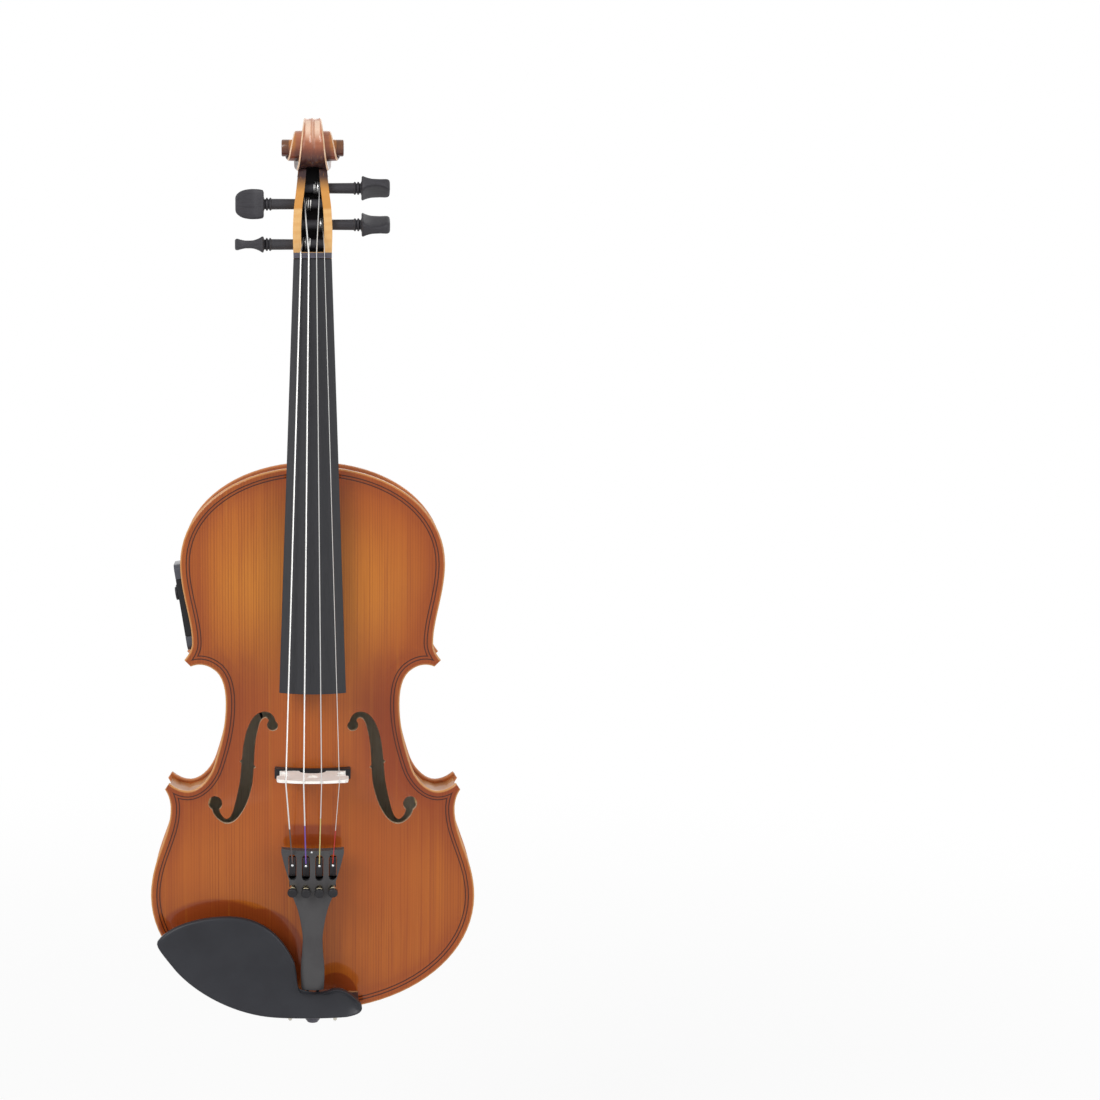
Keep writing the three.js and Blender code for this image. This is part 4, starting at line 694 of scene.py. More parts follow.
@dataclass(frozen=True)
class StringMetal:
    """A wound or plain string whose tail end is wrapped in coloured silk."""

    name: str
    silk: Triple
    silk_top: float
    silk_edge: float = 0.0008
    winds_per_metre: float = 14000.0
    metal: Triple = (236, 235, 232)
    shadow: Triple = (176, 175, 174)

    def make(self) -> bpy.types.Material:
        """Works the finish out as a material.

        Returns:
            The material.
        """
        shade = Shade(self.name)
        z = shade.axis("Z")
        wrapped = z.span(self.silk_top + self.silk_edge, self.silk_top)
        wind = (z * self.winds_per_metre).wave().span(-1.0, 1.0)
        steel = shade.blend(wind * 0.5, self.metal, self.shadow)
        gloss = {"Metallic": (1.0 - wrapped) * 0.85, "Roughness": wrapped * 0.4 + 0.3}
        return shade.dressed(shade.blend(wrapped, steel, self.silk), wind, 0.02, gloss)


@dataclass(frozen=True)
class PlainWood:
    """Unvarnished wood, as inside the body, on the bridge or in cork."""

    name: str
    face: Triple
    grain: Triple
    stretch: Triple = (900.0, 300.0, 24.0)
    amount: float = 0.6
    roughness: float = 0.68

    def make(self) -> bpy.types.Material:
        """Works the finish out as a material.

        Returns:
            The material.
        """
        shade = Shade(self.name)
        lines = shade.noise(self.stretch, 3.0, 0.62)
        cloud = shade.noise((70.0, 70.0, 30.0), 2.0)
        colour = shade.blend(lines.span(0.45, 0.72) * self.amount, self.face, self.grain)
        colour = shade.blend(cloud.span(0.4, 0.8) * 0.2, colour, self.grain)
        return shade.dressed(colour, lines, 0.04, {"Roughness": lines * 0.12 + (self.roughness - 0.06)})


class Finish(Enum):
    """Every finish on the instrument."""

    BELLY = BellyWood()
    # The back's last colour is a painted highlight on its rounded edge.
    BACK = FlamedMaple("back_varnish", (176, 98, 48), (112, 52, 26), (96, 44, 24), (206, 132, 74))
    RIB = FlamedMaple(
        "rib_varnish", (192, 134, 80), (162, 98, 54), (138, 80, 44), flame=0.5, varnish=Varnish(coat=0.3)
    )
    HEAD = HeadWood()
    # Pale maple on the scroll's chamfers: a painted highlight.
    HEAD_EDGE = FlamedMaple("scroll_edge", (236, 200, 168), (214, 164, 122), (196, 140, 96))
    BARE = PlainWood("bare_wood", (216, 188, 142), (170, 128, 78))
    INSIDE = PlainWood("inner_wood", (232, 224, 206), (206, 194, 172))
    # Bare cut spruce on the sound holes' walls, lightened so that on the belly's rounded rims it is also a
    # painted highlight.
    CUT_EDGE = PlainWood("cut_spruce", (214, 186, 156), (176, 140, 106))
    BRIDGE = PlainWood("bridge_maple", (255, 253, 249), (244, 234, 216), (420.0, 500.0, 1500.0), 0.4, 0.5)
    CORK = PlainWood("cork", (176, 128, 82), (96, 62, 38), (620.0, 620.0, 620.0), 0.85, 0.85)
    BOARD = DarkWood("board_black", (50, 50, 53), (42, 42, 45), roughness=0.55)
    PEG = DarkWood("peg_black", (61, 60, 64), (43, 41, 45), (60.0, 800.0, 800.0), 0.5)
    THROAT = DarkWood("throat_black", (38, 34, 36), (25, 22, 24), (500.0, 500.0, 60.0), 0.5)
    NUT = DarkWood("nut_black", (84, 82, 92), (66, 64, 72), (40.0, 600.0, 600.0), 0.28)
    TAIL = Moulded("tailpiece_black", (76, 75, 76), (66, 64, 66), 0.45, 0.02)
    REST = Moulded("chinrest_black", (46, 47, 52), (39, 39, 44), 0.36, 0.012, 700.0)
    CASE = Moulded("preamp_black", (36, 36, 39), (26, 26, 28), 0.42)
    KNOB = Moulded("knob_black", (44, 43, 46), (30, 29, 31), 0.46)
    SILVER = Moulded("cap_grey", (80, 83, 92), (66, 69, 78), 0.32, 0.01, 1200.0, 0.3)
    BOARD_GREEN = Moulded("circuit_green", (22, 82, 46), (16, 64, 36), 0.4, 0.03, 500.0)
    CORD = Moulded("tail_cord", (30, 29, 31), (20, 19, 21), 0.5, 0.05, 1600.0)
    NICKEL = Metal("nickel", (205, 201, 190), (170, 162, 146))
    BLACK_NICKEL = Metal("black_nickel", (60, 58, 60), (40, 38, 40), 0.35)
    PEARL = Moulded("pearl_dot", (240, 240, 244), (214, 222, 226), 0.2, 0.004, 500.0, 0.5)
    BRASS = Metal("brass", (252, 240, 204), (232, 208, 150))
    STEEL = Metal("bright_steel", (210, 212, 214), (176, 178, 182))
    STRING_G = StringMetal("string_g_wound", (84, 74, 74), -0.4215)
    STRING_D = StringMetal("string_d_wound", (112, 84, 168), -0.4185)
    STRING_A = StringMetal("string_a_wound", (196, 186, 122), -0.4135)
    STRING_E = StringMetal("string_e_plain", (190, 48, 56), -0.4225)

    def material(self) -> bpy.types.Material:
        """Returns the finish's material, made the first time that it is asked for.

        Returns:
            The material.
        """
        name = f"finish_{self.name.lower()}"
        found = bpy.data.materials.get(name)
        if found is None:
            found = self.value.make()
            found.name = name
        return found


# Mesh writing


class Skin:
    """A closed skin that grows ring by ring, each ring drawn out of the edges of the last."""

    def __init__(self) -> None:
        """Starts an empty mesh with a run of distances from the edge."""
        self.mesh = bmesh.new()
        self.run = self.mesh.verts.layers.float.new("run")
        self.ring: list[bmesh.types.BMVert] = []
        self.tone = 0

    def edges(self) -> list[bmesh.types.BMEdge]:
        """Returns the edges of the last ring."""
        return [self.mesh.edges.get((a, b)) for a, b in zip(self.ring, self.ring[1:] + self.ring[:1])]

    def start(self, points: Sequence[Vector], run: float = 0.0, closed: bool = False) -> "Skin":
        """Lays the first ring.

        Args:
            points: Its places in the frame.
            run: Its distance from the plate's edge in millimetres.
            closed: Whether it is filled.

        Returns:
            The skin itself.
        """
        self.ring = [self.mesh.verts.new(point) for point in points]
        for a, b in zip(self.ring, self.ring[1:] + self.ring[:1]):
            self.mesh.edges.new((a, b))
        for vert in self.ring:
            vert[self.run] = run
        if closed:
            self.close()
        return self

    def grow(self, points: Sequence[Vector], run: float = 0.0) -> "Skin":
        """Draws the next ring out of the last one and moves it to its places.

        Args:
            points: The places of the new ring, one for each point of the last.
            run: Its distance from the plate's edge in millimetres.

        Returns:
            The skin itself.
        """
        made = bmesh.ops.extrude_edge_only(self.mesh, edges=self.edges())["geom"]
        fresh = {item for item in made if isinstance(item, bmesh.types.BMVert)}
        self._tint(made)
        self.ring = [
            next(edge.other_vert(vert) for edge in vert.link_edges if edge.other_vert(vert) in fresh)
            for vert in self.ring
        ]
        for vert, point in zip(self.ring, points):
            vert.co = point
            vert[self.run] = run
        return self

    def close(self) -> "Skin":
        """Fills the last ring."""
        self._tint(bmesh.ops.triangle_fill(self.mesh, edges=self.edges(), use_beauty=True)["geom"])
        return self

    def _tint(self, made: Sequence[bmesh.types.BMVert | bmesh.types.BMEdge | bmesh.types.BMFace]) -> None:
        """Gives new faces the material that the skin is growing in.

        Args:
            made: What was made, of which the faces count.
        """
        for item in made:
            if isinstance(item, bmesh.types.BMFace):
                item.material_index = self.tone

    @classmethod
    def loft(cls, rings: Sequence[Sequence[Vector]]) -> Mesh:
        """Returns the mesh of a skin through rings with both ends filled.

        Args:
            rings: The rings in order, each with the same count of places.

        Returns:
            The closed mesh.
        """
        skin = cls().start(rings[0], closed=True)
        for ring in rings[1:]:
            skin.grow(ring)
        return skin.close().mesh


def add_object(name: str, data: bpy.types.ID) -> bpy.types.Object:
    """Puts data in the scene as an object.

    Args:
        name: Its name.
        data: The mesh, lamp or camera.

    Returns:
        The object.
    """
    made = bpy.data.objects.new(name, data)
    bpy.context.scene.collection.objects.link(made)
    return made


def as_data(name: str, mesh: Mesh) -> bpy.types.Mesh:
    """Turns a mesh under construction into mesh data and frees it.

    Args:
        name: Its name.
        mesh: The mesh, which is freed.

    Returns:
        The mesh data.
    """
    data = bpy.data.meshes.new(name)
    mesh.to_mesh(data)
    mesh.free()
    return data


@dataclass
class Piece:
    """A mesh on its way to becoming a named piece of the scene."""

    name: str
    mesh: Mesh
    finish: Finish
    slot: str
    stands_for: tuple[str, ...] = ()
    body: str = "instrument"
    sharp: float = SHARP
    joins: list[Mesh] = field(default_factory=list)
    cutters: list[Mesh] = field(default_factory=list)
    cut_finish: Finish | None = None
    bevel: float = 0.0
    bevel_angle: float = 40.0
    rim: int = -1
    more: tuple[Finish, ...] = ()
    with_run: bool = False

    @staticmethod
    def _cleaned(mesh: Mesh) -> Mesh:
        """Merges doubles and turns every face outwards.

        Args:
            mesh: The mesh.

        Returns:
            The same mesh.
        """
        bmesh.ops.remove_doubles(mesh, verts=mesh.verts, dist=WELD)
        bmesh.ops.dissolve_degenerate(mesh, edges=mesh.edges, dist=SLIVER)
        bmesh.ops.recalc_face_normals(mesh, faces=mesh.faces)
        if mesh.calc_volume(signed=True) < 0:
            bmesh.ops.reverse_faces(mesh, faces=mesh.faces)
        return mesh

    def _as_object(self, name: str, mesh: Mesh) -> bpy.types.Object:
        """Turns a mesh into an object in the scene.

        Args:
            name: The object's name.
            mesh: The mesh, which is freed.

        Returns:
            The object.
        """
        if self.with_run and "run" in mesh.verts.layers.float:
            self._write_run(mesh)
        return add_object(name, as_data(name, self._cleaned(mesh)))

    @staticmethod
    def _write_run(mesh: Mesh) -> None:
        """Copies the distance from the edge into the piece's UV map.

        Args:
            mesh: The mesh, whose points hold the distance.
        """
        run = mesh.verts.layers.float["run"]
        chart = mesh.loops.layers.uv.new("edge")
        for face in mesh.faces:
            for corner in face.loops:
                corner[chart].uv = (corner.vert[run] / RUN_SCALE, 0.0)

    def settle(self) -> bpy.types.Object:
        """Cuts, smooths, dresses and seats the piece.

        Returns:
            The finished object.
        """
        made = self._as_object(self.name, self.mesh)
        self._dress(made, (self.finish, *self.more))
        for other in self.joins:
            self._combine(made, other, "UNION")
        for cutter in self.cutters:
            self._combine(made, cutter, "DIFFERENCE")
        made.data.shade_smooth()
        made.data.set_sharp_from_angle(angle=math.radians(self.sharp))
        if self.bevel:
            add_bevel(made, self.bevel, self.bevel_angle).material = self.rim
        if self.stands_for:
            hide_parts(*self.stands_for)
        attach(made, self.body)
        LOG.info("%s: %d faces", self.name, len(made.data.polygons))
        return made

    @staticmethod
    def _dress(made: bpy.types.Object, finishes: Sequence[Finish]) -> None:
        """Gives an object its materials, one slot each."""
        for finish in finishes:
            made.data.materials.append(finish.material())

    def _combine(self, made: bpy.types.Object, other: Mesh, operation: str) -> None:
        """Joins one closed mesh to the piece or takes it out.

        Args:
            made: The piece so far.
            other: The mesh that is joined to it or taken out.
            operation: UNION or DIFFERENCE.
        """
        tool = self._as_object(f"{self.name}_tool", other)
        cut = (self.cut_finish or self.finish,)
        self._dress(tool, (self.finish, *self.more) if operation == "UNION" else cut)
        step = made.modifiers.new("combine", "BOOLEAN")
        step.operation, step.object, step.solver = operation, tool, "EXACT"
        step.material_mode = "TRANSFER"
        bpy.context.view_layer.update()
        result = bpy.data.meshes.new_from_object(made.evaluated_get(bpy.context.evaluated_depsgraph_get()))
        made.modifiers.remove(step)
        old, made.data = made.data, result
        result.name = made.name
        bpy.data.meshes.remove(old)
        bpy.data.objects.remove(tool)


def add_bevel(made: bpy.types.Object, width: float, angle: float) -> bpy.types.Modifier:
    """Rounds a piece's hard edges.

    Args:
        made: The object.
        width: The rounding in millimetres.
        angle: Edges sharper than this many degrees are rounded.

    Returns:
        The modifier.
    """
    step = made.modifiers.new("rounding", "BEVEL")
    step.width, step.segments, step.limit_method = width * MM, 2, "ANGLE"
    step.angle_limit = math.radians(angle)
    step.harden_normals = False
    step.use_clamp_overlap = True
    return step


def laid(mesh: Mesh, middle: Vector, way: Vector) -> Mesh:
    """Turns a mesh that stands along Z to another way and moves it to its middle.

    Args:
        mesh: The mesh.
        middle: Where its own middle goes.
        way: Where its Z axis points.

    Returns:
        The same mesh.
    """
    turn = Vector((0, 0, 1)).rotation_difference(way).to_matrix().to_4x4()
    bmesh.ops.transform(mesh, matrix=Matrix.Translation(middle) @ turn, verts=mesh.verts)
    return mesh


def box_mesh(low: Triple, high: Triple) -> Mesh:
    """Returns a block between two corners on the drawing.

    Args:
        low: The lower corner in millimetres.
        high: The higher corner.

    Returns:
        The block.
    """
    mesh = bmesh.new()
    bmesh.ops.create_cube(mesh, size=1.0)
    a, b = put(*low), put(*high)
    bmesh.ops.scale(mesh, vec=b - a, verts=mesh.verts)
    bmesh.ops.translate(mesh, vec=(a + b) / 2, verts=mesh.verts)
    return mesh


def rod_mesh(radius: float, start: Vector, end: Vector, sides: int) -> Mesh:
    """Returns a round rod between two places in the frame, its radius in millimetres.

    Args:
        radius: Its radius in millimetres.
        start: One end, in the frame.
        end: The other end.
        sides: How many flat sides it has.

    Returns:
        The rod.
    """
    mesh = bmesh.new()
    wide, way = radius * MM, end - start
    bmesh.ops.create_cone(mesh, cap_ends=True, segments=sides, radius1=wide, radius2=wide, depth=way.length)
    return laid(mesh, (start + end) / 2, way)


def spun(profile: Rows, start: Vector, way: Vector, steps: int) -> Mesh:
    """Turns a profile about an axis.

    Args:
        profile: Places along the axis and radii, in millimetres, that start and end on the axis.
        start: Where the axis starts, in the frame.
        way: The axis' direction.
        steps: Steps in the turn.

    Returns:
        The turned mesh.
    """
    mesh = bmesh.new()
    verts = [mesh.verts.new((radius * MM, 0, along * MM)) for along, radius in profile]
    edges = [mesh.edges.new(pair) for pair in zip(verts, verts[1:])]
    bmesh.ops.spin(
        mesh, geom=[*verts, *edges], cent=(0, 0, 0), axis=(0, 0, 1), angle=math.tau, steps=steps,
        use_merge=True,
    )
    return laid(mesh, start, way)


def gathered(meshes: Sequence[Mesh]) -> Mesh:
    """Returns one mesh that holds several closed ones.

    Args:
        meshes: The closed meshes, which are freed.

    Returns:
        The one mesh.
    """
    whole = bmesh.new()
    for mesh in meshes:
        bmesh.ops.recalc_face_normals(mesh, faces=mesh.faces)
        data = as_data("gathered", mesh)
        whole.from_mesh(data)
        bpy.data.meshes.remove(data)
    return whole


# Body


class Bout(Enum):
    """The three curves of the outline's treble side, from the tail up."""

    LOWER = "lower"
    WAIST = "waist"
    UPPER = "upper"


@dataclass(frozen=True)
class BodySizes:
    """The body's own sizes in millimetres."""

    length: float = 356.0
    lower: float = 104.9
    lower_corner: float = 95.3
    waist: float = 55.8
    upper_corner: float = 82.1
    upper: float = 84.4
    seat: float = 15.0
    edge: float = 19.0
    arch_inset: float = 13.0
    full_end: float = 0.75
    button_width: float = 21.0
    button_reach: float = 11.0
    button_drop: float = 1.0


class Outline:
    """The body's outline at any inset, as chains of curves on shares of the body's sizes."""

    SHARES: dict[Bout, tuple[tuple[str, tuple[Pair, ...]], ...]] = {
        Bout.LOWER: (
            ("lower", ((0, 0), (0.553, 0), (1, 0.093), (1, 0.215), (1, 0.284))),
            ("lower_corner", ((0.955, 0.329), (0.962, 0.3815), (0.966, 0.396), (0.981, 0.406), (1, 0.413))),
        ),
        Bout.WAIST: (
            (
                "lower_corner",
                ((0.9685, 0.4247), (0.929, 0.4157), (0.887, 0.4107), (0.845, 0.4107), (0.777, 0.4107)),
            ),
            (
                "waist",
                (
                    (1.192, 0.431), (1.136, 0.458), (1.057, 0.496), (1, 0.531), (1, 0.572), (1, 0.601),
                    (1.039, 0.625), (1.15, 0.635),
                ),
            ),
            ("upper_corner", ((0.84, 0.644), (0.901, 0.644), (0.95, 0.639))),
        ),
        Bout.UPPER: (
            ("upper_corner", ((1, 0.651), (0.968, 0.66), (0.939, 0.671), (0.939, 0.682), (0.939, 0.725))),
            ("upper", ((1, 0.7725), (1, 0.825), (1, 0.927), (0.569, 1), (0, 1))),
        ),
    }
    STEPS: dict[Bout, tuple[int, ...]] = {
        Bout.LOWER: (22, 14, 7),
        Bout.WAIST: (6, 9, 9, 7, 8),
        Bout.UPPER: (7, 14, 20),
    }

    def __init__(self, sizes: BodySizes) -> None:
        """Draws the three curves of the treble side.

        Args:
            sizes: The body's sizes.
        """
        self.sizes = sizes
        self.runs = {bout: self._drawn(bout) for bout in Bout}

    def _drawn(self, bout: Bout) -> list[Vector]:
        """Returns one bout's points from its shares.

        Args:
            bout: The bout.

        Returns:
            Its points in millimetres.
        """
        points = [
            Vector((getattr(self.sizes, width) * across, self.sizes.length * along))
            for width, shares in self.SHARES[bout]
            for across, along in shares
        ]
        run = [points[0]]
        for piece, steps in enumerate(self.STEPS[bout]):
            run += bezier(points[3 * piece : 3 * piece + 4], steps)
        return run

    @staticmethod
    def _moved(run: Sequence[Vector], inset: float) -> list[Vector]:
        """Returns a run moved inwards.

        Args:
            run: The run's points.
            inset: How far inwards, in millimetres.

        Returns:
            The moved points.
        """
        last = len(run) - 1
        moved = []
        for i, point in enumerate(run):
            along = (run[min(i + 1, last)] - run[max(i - 1, 0)]).normalized()
            place = Vector((point.x - along.y * inset, point.y + along.x * inset))
            if point.x == 0:
                place.x = 0.0
            moved.append(place)
        return moved

    @staticmethod
    def _mitred(first: list[Vector], second: list[Vector]) -> tuple[list[Vector], list[Vector]]:
        """Draws what lies past two runs' crossing in to it.

        Args:
            first: The first run.
            second: The run that follows it.

        Returns:
            Both runs, each as long as before.
        """
        for i in range(len(first) - 1, 0, -1):
            for j in range(len(second) - 1):
                a, ab = first[i - 1], first[i] - first[i - 1]
                c, cd = second[j], second[j + 1] - second[j]
                span = ab.cross(cd)
                if abs(span) < 1e-12:
                    continue
                s, t = (c - a).cross(cd) / span, (c - a).cross(ab) / span
                if 0 <= s <= 1 and 0 <= t <= 1:
                    meeting = a + ab * s
                    return (
                        [meeting if k >= i else point for k, point in enumerate(first)],
                        [meeting if k <= j else point for k, point in enumerate(second)],
                    )
        return first, second

    def bouts(self, inset: float) -> dict[Bout, list[Vector]]:
        """Returns the three bouts at one inset, mitred at the corners.

        Args:
            inset: How far inwards, in millimetres.

        Returns:
            The points of each bout.
        """
        lower, waist, upper = (self._moved(self.runs[bout], inset) for bout in Bout)
        lower, waist = self._mitred(lower, waist)
        waist, upper = self._mitred(waist, upper)
        return {Bout.LOWER: lower, Bout.WAIST: waist, Bout.UPPER: upper}

    def ring(self, inset: float) -> list[Vector]:
        """Returns the whole outline at one inset, with an equal count at any inset."""
        side = [point for run in self.bouts(inset).values() for point in run]
        return side + [Vector((-point.x, point.y)) for point in reversed(side[1:-1])]


class PlateSide(Enum):
    """Which way a plate's arch stands, with its rise and its thickness in millimetres."""

    BELLY = (-1, 12.0, 3.0)
    BACK = (1, 11.5, 3.6)


@dataclass
class Plates:
    """The arched belly with its sound holes, and the arched back with its button."""

    sizes: BodySizes = field(default_factory=BodySizes)
    upper_eye: float = 3.5
    lower_eye: float = 4.5
    hole_path: tuple[Triple, ...] = (
        (25.7, 190.5, 4.4), (26.1, 194.2, 4.3), (28.1, 196.7, 4.1), (31.3, 197.0, 4.1), (34.4, 195.2, 4.7),
        (36.7, 191.9, 5.6), (38.3, 187.6, 6.4), (39.6, 183.1, 6.9), (40.6, 177.4, 7.3), (41.2, 171.8, 7.6),
        (41.7, 165.0, 7.9), (42.5, 154.8, 8.1), (43.5, 149.1, 8.0), (44.9, 143.5, 7.5), (46.8, 137.8, 6.6),
        (49.3, 132.3, 5.0), (52.2, 128.7, 3.8), (55.7, 127.4, 3.1), (59.4, 129.4, 3.6), (62.0, 133.2, 4.5),
        (62.8, 138.4, 5.0),
    )
    nicks: tuple[tuple[int, float], ...] = ((1, 165.3), (-1, 162.7))
    nick_depth: float = 1.5
    cut_levels: Pair = (-44.0, -4.0)
    saddle_room: tuple[Triple, Triple] = ((-18.3, -31.0, -12.0), (18.3, 0.0, 7.1))
    arch_start: float = 0.12
    hollow_shares: tuple[float, ...] = (0.85, 0.65, 0.45, 0.25, 0.1, 0.0)
    arch_shares: tuple[float, ...] = (
        0.0, 0.05, 0.11, 0.18, 0.26, 0.35, 0.45, 0.56, 0.67, 0.78, 0.88, 0.95, 1.0,
    )
    hollow_run: float = 20.0
    middle_run: float = 60.0
    corner_blend: float = 9.0
    spine_reach: float = 52.0
    spine_ease: float = 2.5

    def __post_init__(self) -> None:
        """Draws the outline that both plates share."""
        self.outline = Outline(self.sizes)
        self.arch_ring = self._eased(self.outline.ring(self.sizes.arch_inset))
        corners = self.outline.bouts(self.sizes.arch_inset)
        self.spine_middle = (corners[Bout.WAIST][0].y + corners[Bout.UPPER][0].y) / 2

    def _eased(self, ring: Sequence[Vector]) -> list[Vector]:
        """Returns the arch's foot with its corners run into the bouts on either side.

        Args:
            ring: The ring's points.

        Returns:
            The eased points.
        """
        steps = [(b - a).length for a, b in zip(ring, [*ring[1:], ring[0]])]
        whole = sum(steps)
        places = [sum(steps[:i]) for i in range(len(ring))]
        eased = []
        for at in places:
            total, weight = Vector((0.0, 0.0)), 0.0
            for i, point in enumerate(ring):
                apart = abs(at - places[i])
                apart = min(apart, whole - apart)
                if apart < 3 * self.corner_blend:
                    share = math.exp(-0.5 * (apart / self.corner_blend) ** 2) * (steps[i] + steps[i - 1])
                    total += point * share
                    weight += share
            eased.append(total / weight)
        half = len(eased) // 2
        for i in range(1, half):
            eased[-i] = Vector((-eased[i].x, eased[i].y))
        eased[0].x = eased[half].x = 0.0
        return eased

    def _spine(self, point: Vector) -> Vector:
        """Returns where a point of the arch's foot meets the centre line.

        Args:
            point: A point of the arch's foot.

        Returns:
            The point on the centre line.
        """
        away = (point.y - self.spine_middle) / self.spine_reach
        held = away / (1 + abs(away) ** self.spine_ease) ** (1 / self.spine_ease)
        return Vector((0.0, self.spine_middle + self.spine_reach * held))

    def _risen(self, point: Vector, share: float) -> float:
        """Returns how much of the arch's rise is reached a share of the way to the centre line.

        Args:
            point: A point of the arch's foot.
            share: How far on the way it is.

        Returns:
            The share of the rise.
        """
        reach = point - self._spine(point)
        endwise = self.sizes.full_end * abs(reach.y) / reach.length
        low = math.cos(math.pi * self.arch_start)
        across = (low - math.cos(math.pi * mix(self.arch_start, 1, share))) / (low + 1)
        return mix(across, math.sin(math.pi / 2 * share), endwise)

    def _flat(self, inset: float, level: float) -> list[Vector]:
        """Returns the outline at an inset, laid at a level."""
        return [put(point.x, level, point.y) for point in self.outline.ring(inset)]

    def _arched(self, share: float, foot: float, climb: float) -> list[Vector]:
        """Returns a ring on the arch, a share of the way from its foot to the centre line.

        Args:
            share: How far on the way it is.
            foot: The level of the arch's foot.
            climb: The arch's rise.

        Returns:
            The ring's places in the frame.
        """
        ring = []
        for point in self.arch_ring:
            at = point.lerp(self._spine(point), share)
            ring.append(put(at.x, foot + climb * self._risen(point, share), at.y))
        return ring

    def plate(self, side: PlateSide) -> Mesh:
        """Returns a plate's mesh: its hollow, its rounded edge, its channel and its arch.

        Args:
            side: The belly or the back.

        Returns:
            The closed mesh.
        """
        way, rise, thickness = side.value
        sizes = self.sizes
        climb = sizes.edge + rise - thickness - sizes.seat
        skin = Skin()
        skin.tone = 1
        skin.start(self._arched(1.0, way * sizes.seat, way * climb), self.middle_run)
        for share in self.hollow_shares:
            skin.grow(self._arched(share, way * sizes.seat, way * climb), self.hollow_run)
        top = sizes.edge
        edge = (
            (4.0, sizes.seat), (1.2, sizes.seat), (0.35, sizes.seat + 0.25), (0.0, sizes.seat + 1.0),
            (0.0, top - 1.5), (0.15, top - 0.75), (0.6, top - 0.2), (1.3, top), (2.6, top - 0.05),
            (4.0, top - 0.35), (5.2, top - 0.75), (6.5, top - 1.0), (7.8, top - 0.98), (9.4, top - 0.76),
            (11.2, top - 0.4),
        )
        for inset, level in edge:
            skin.grow(self._flat(inset, way * level), inset)
            skin.tone = 0
        for share in self.arch_shares:
            run = mix(sizes.arch_inset, self.middle_run, share)
            skin.grow(self._arched(share, way * top, way * rise), run)
        return skin.mesh

    @staticmethod
    def _slab(points: Sequence[Vector], near: float, far: float) -> Mesh:
        """Returns an upright slab through the plate from a flat outline."""
        return Skin.loft([[put(point.x, level, point.y) for point in points] for level in (near, far)])

    def sound_hole(self, side: int) -> list[Mesh]:
        """Returns what is cut out of the belly for one sound hole.

        Args:
            side: 1 on the treble side, -1 on the bass side.

        Returns:
            The swept slit with its nicks, and the two eyes.
        """
        path = spline([Vector((side * x, z, width)) for x, z, width in self.hole_path], 80)
        nicked = set()
        for way, at in self.nicks:
            apart = [abs(point.y - at) for point in path]
            nicked.add((way * side, apart.index(min(apart))))
        left, right = [], []
        for i, point in enumerate(path):
            along = (path[min(i + 1, len(path) - 1)] - path[max(i - 1, 0)]).xy.normalized()
            out = Vector((-along.y, along.x))
            for way, edge in ((1, left), (-1, right)):
                deep = self.nick_depth if (way, i) in nicked else 0.0
                edge.append(point.xy + out * way * (point.z / 2 + deep))
        near, far = self.cut_levels
        cutters = [self._slab(left + right[::-1], near, far)]
        for at, radius in ((path[0], self.upper_eye), (path[-1], self.lower_eye)):
            cutters.append(rod_mesh(radius, put(at.x, near, at.y), put(at.x, far, at.y), 40))
        return cutters

    def build(self, neck_room: Mesh) -> None:
        """Makes both plates.

        Args:
            neck_room: What the neck's foot takes out of the belly.
        """
        cutters = [*self.sound_hole(1), *self.sound_hole(-1), box_mesh(*self.saddle_room), neck_room]
        Piece(
            "belly_fine", self.plate(PlateSide.BELLY), Finish.BELLY, "spruce_varnish", ("belly",),
            cutters=cutters, cut_finish=Finish.CUT_EDGE, more=(Finish.INSIDE,), with_run=True, sharp=42.0,
            # The rounded rims of the cuts take the cut spruce, partly a painted highlight.
            bevel=0.34, bevel_angle=62.0, rim=2,
        ).settle()
        Piece(
            "back_fine", self.plate(PlateSide.BACK), Finish.BACK, "maple_varnish", ("back_plate",),
            more=(Finish.INSIDE,), with_run=True, sharp=42.0,
        ).settle()
        self._button()

    def _button(self) -> None:
        """Makes the back's button under the neck's foot."""
        half, top = self.sizes.button_width / 2, self.sizes.length
        low, centre = top - self.sizes.arch_inset, top + self.sizes.button_reach - half
        points = [Vector((-half, low)), Vector((half, low))]
        for i in range(25):
            angle = math.pi * i / 24
            points.append(Vector((half * math.cos(angle), centre + half * math.sin(angle))))
        slab = self._slab(points, self.sizes.seat, self.sizes.edge - self.sizes.button_drop)
        Piece("back_button", slab, Finish.BACK, "maple_varnish", bevel=0.7).settle()


def spline(points: Sequence[Vector], steps: int) -> list[Vector]:
    """Returns evenly stepped points on a smooth curve through given points.

    Args:
        points: The points that it passes.
        steps: How many steps it is divided into.

    Returns:
        One more point than the steps.
    """
    dense = []
    for i in range(len(points) - 1):
        a, b = points[max(i - 1, 0)], points[i]
        c, d = points[i + 1], points[min(i + 2, len(points) - 1)]
        for k in range(24):
            t = k / 24
            bent = (a * 2 - b * 5 + c * 4 - d) * t**2 + (b * 3 - a - c * 3 + d) * t**3
            dense.append((b * 2 + (c - a) * t + bent) / 2)
    dense.append(points[-1].copy())
    lengths = [0.0]
    for a, b in zip(dense, dense[1:]):
        lengths.append(lengths[-1] + (b - a).length)
    run, at = [], 0
    for step in range(steps + 1):
        want = lengths[-1] * step / steps
        while at < len(lengths) - 2 and lengths[at + 1] < want:
            at += 1
        part = (want - lengths[at]) / max(lengths[at + 1] - lengths[at], 1e-9)
        run.append(dense[at].lerp(dense[at + 1], clamp(part, 0, 1)))
    return run


# Neck and head


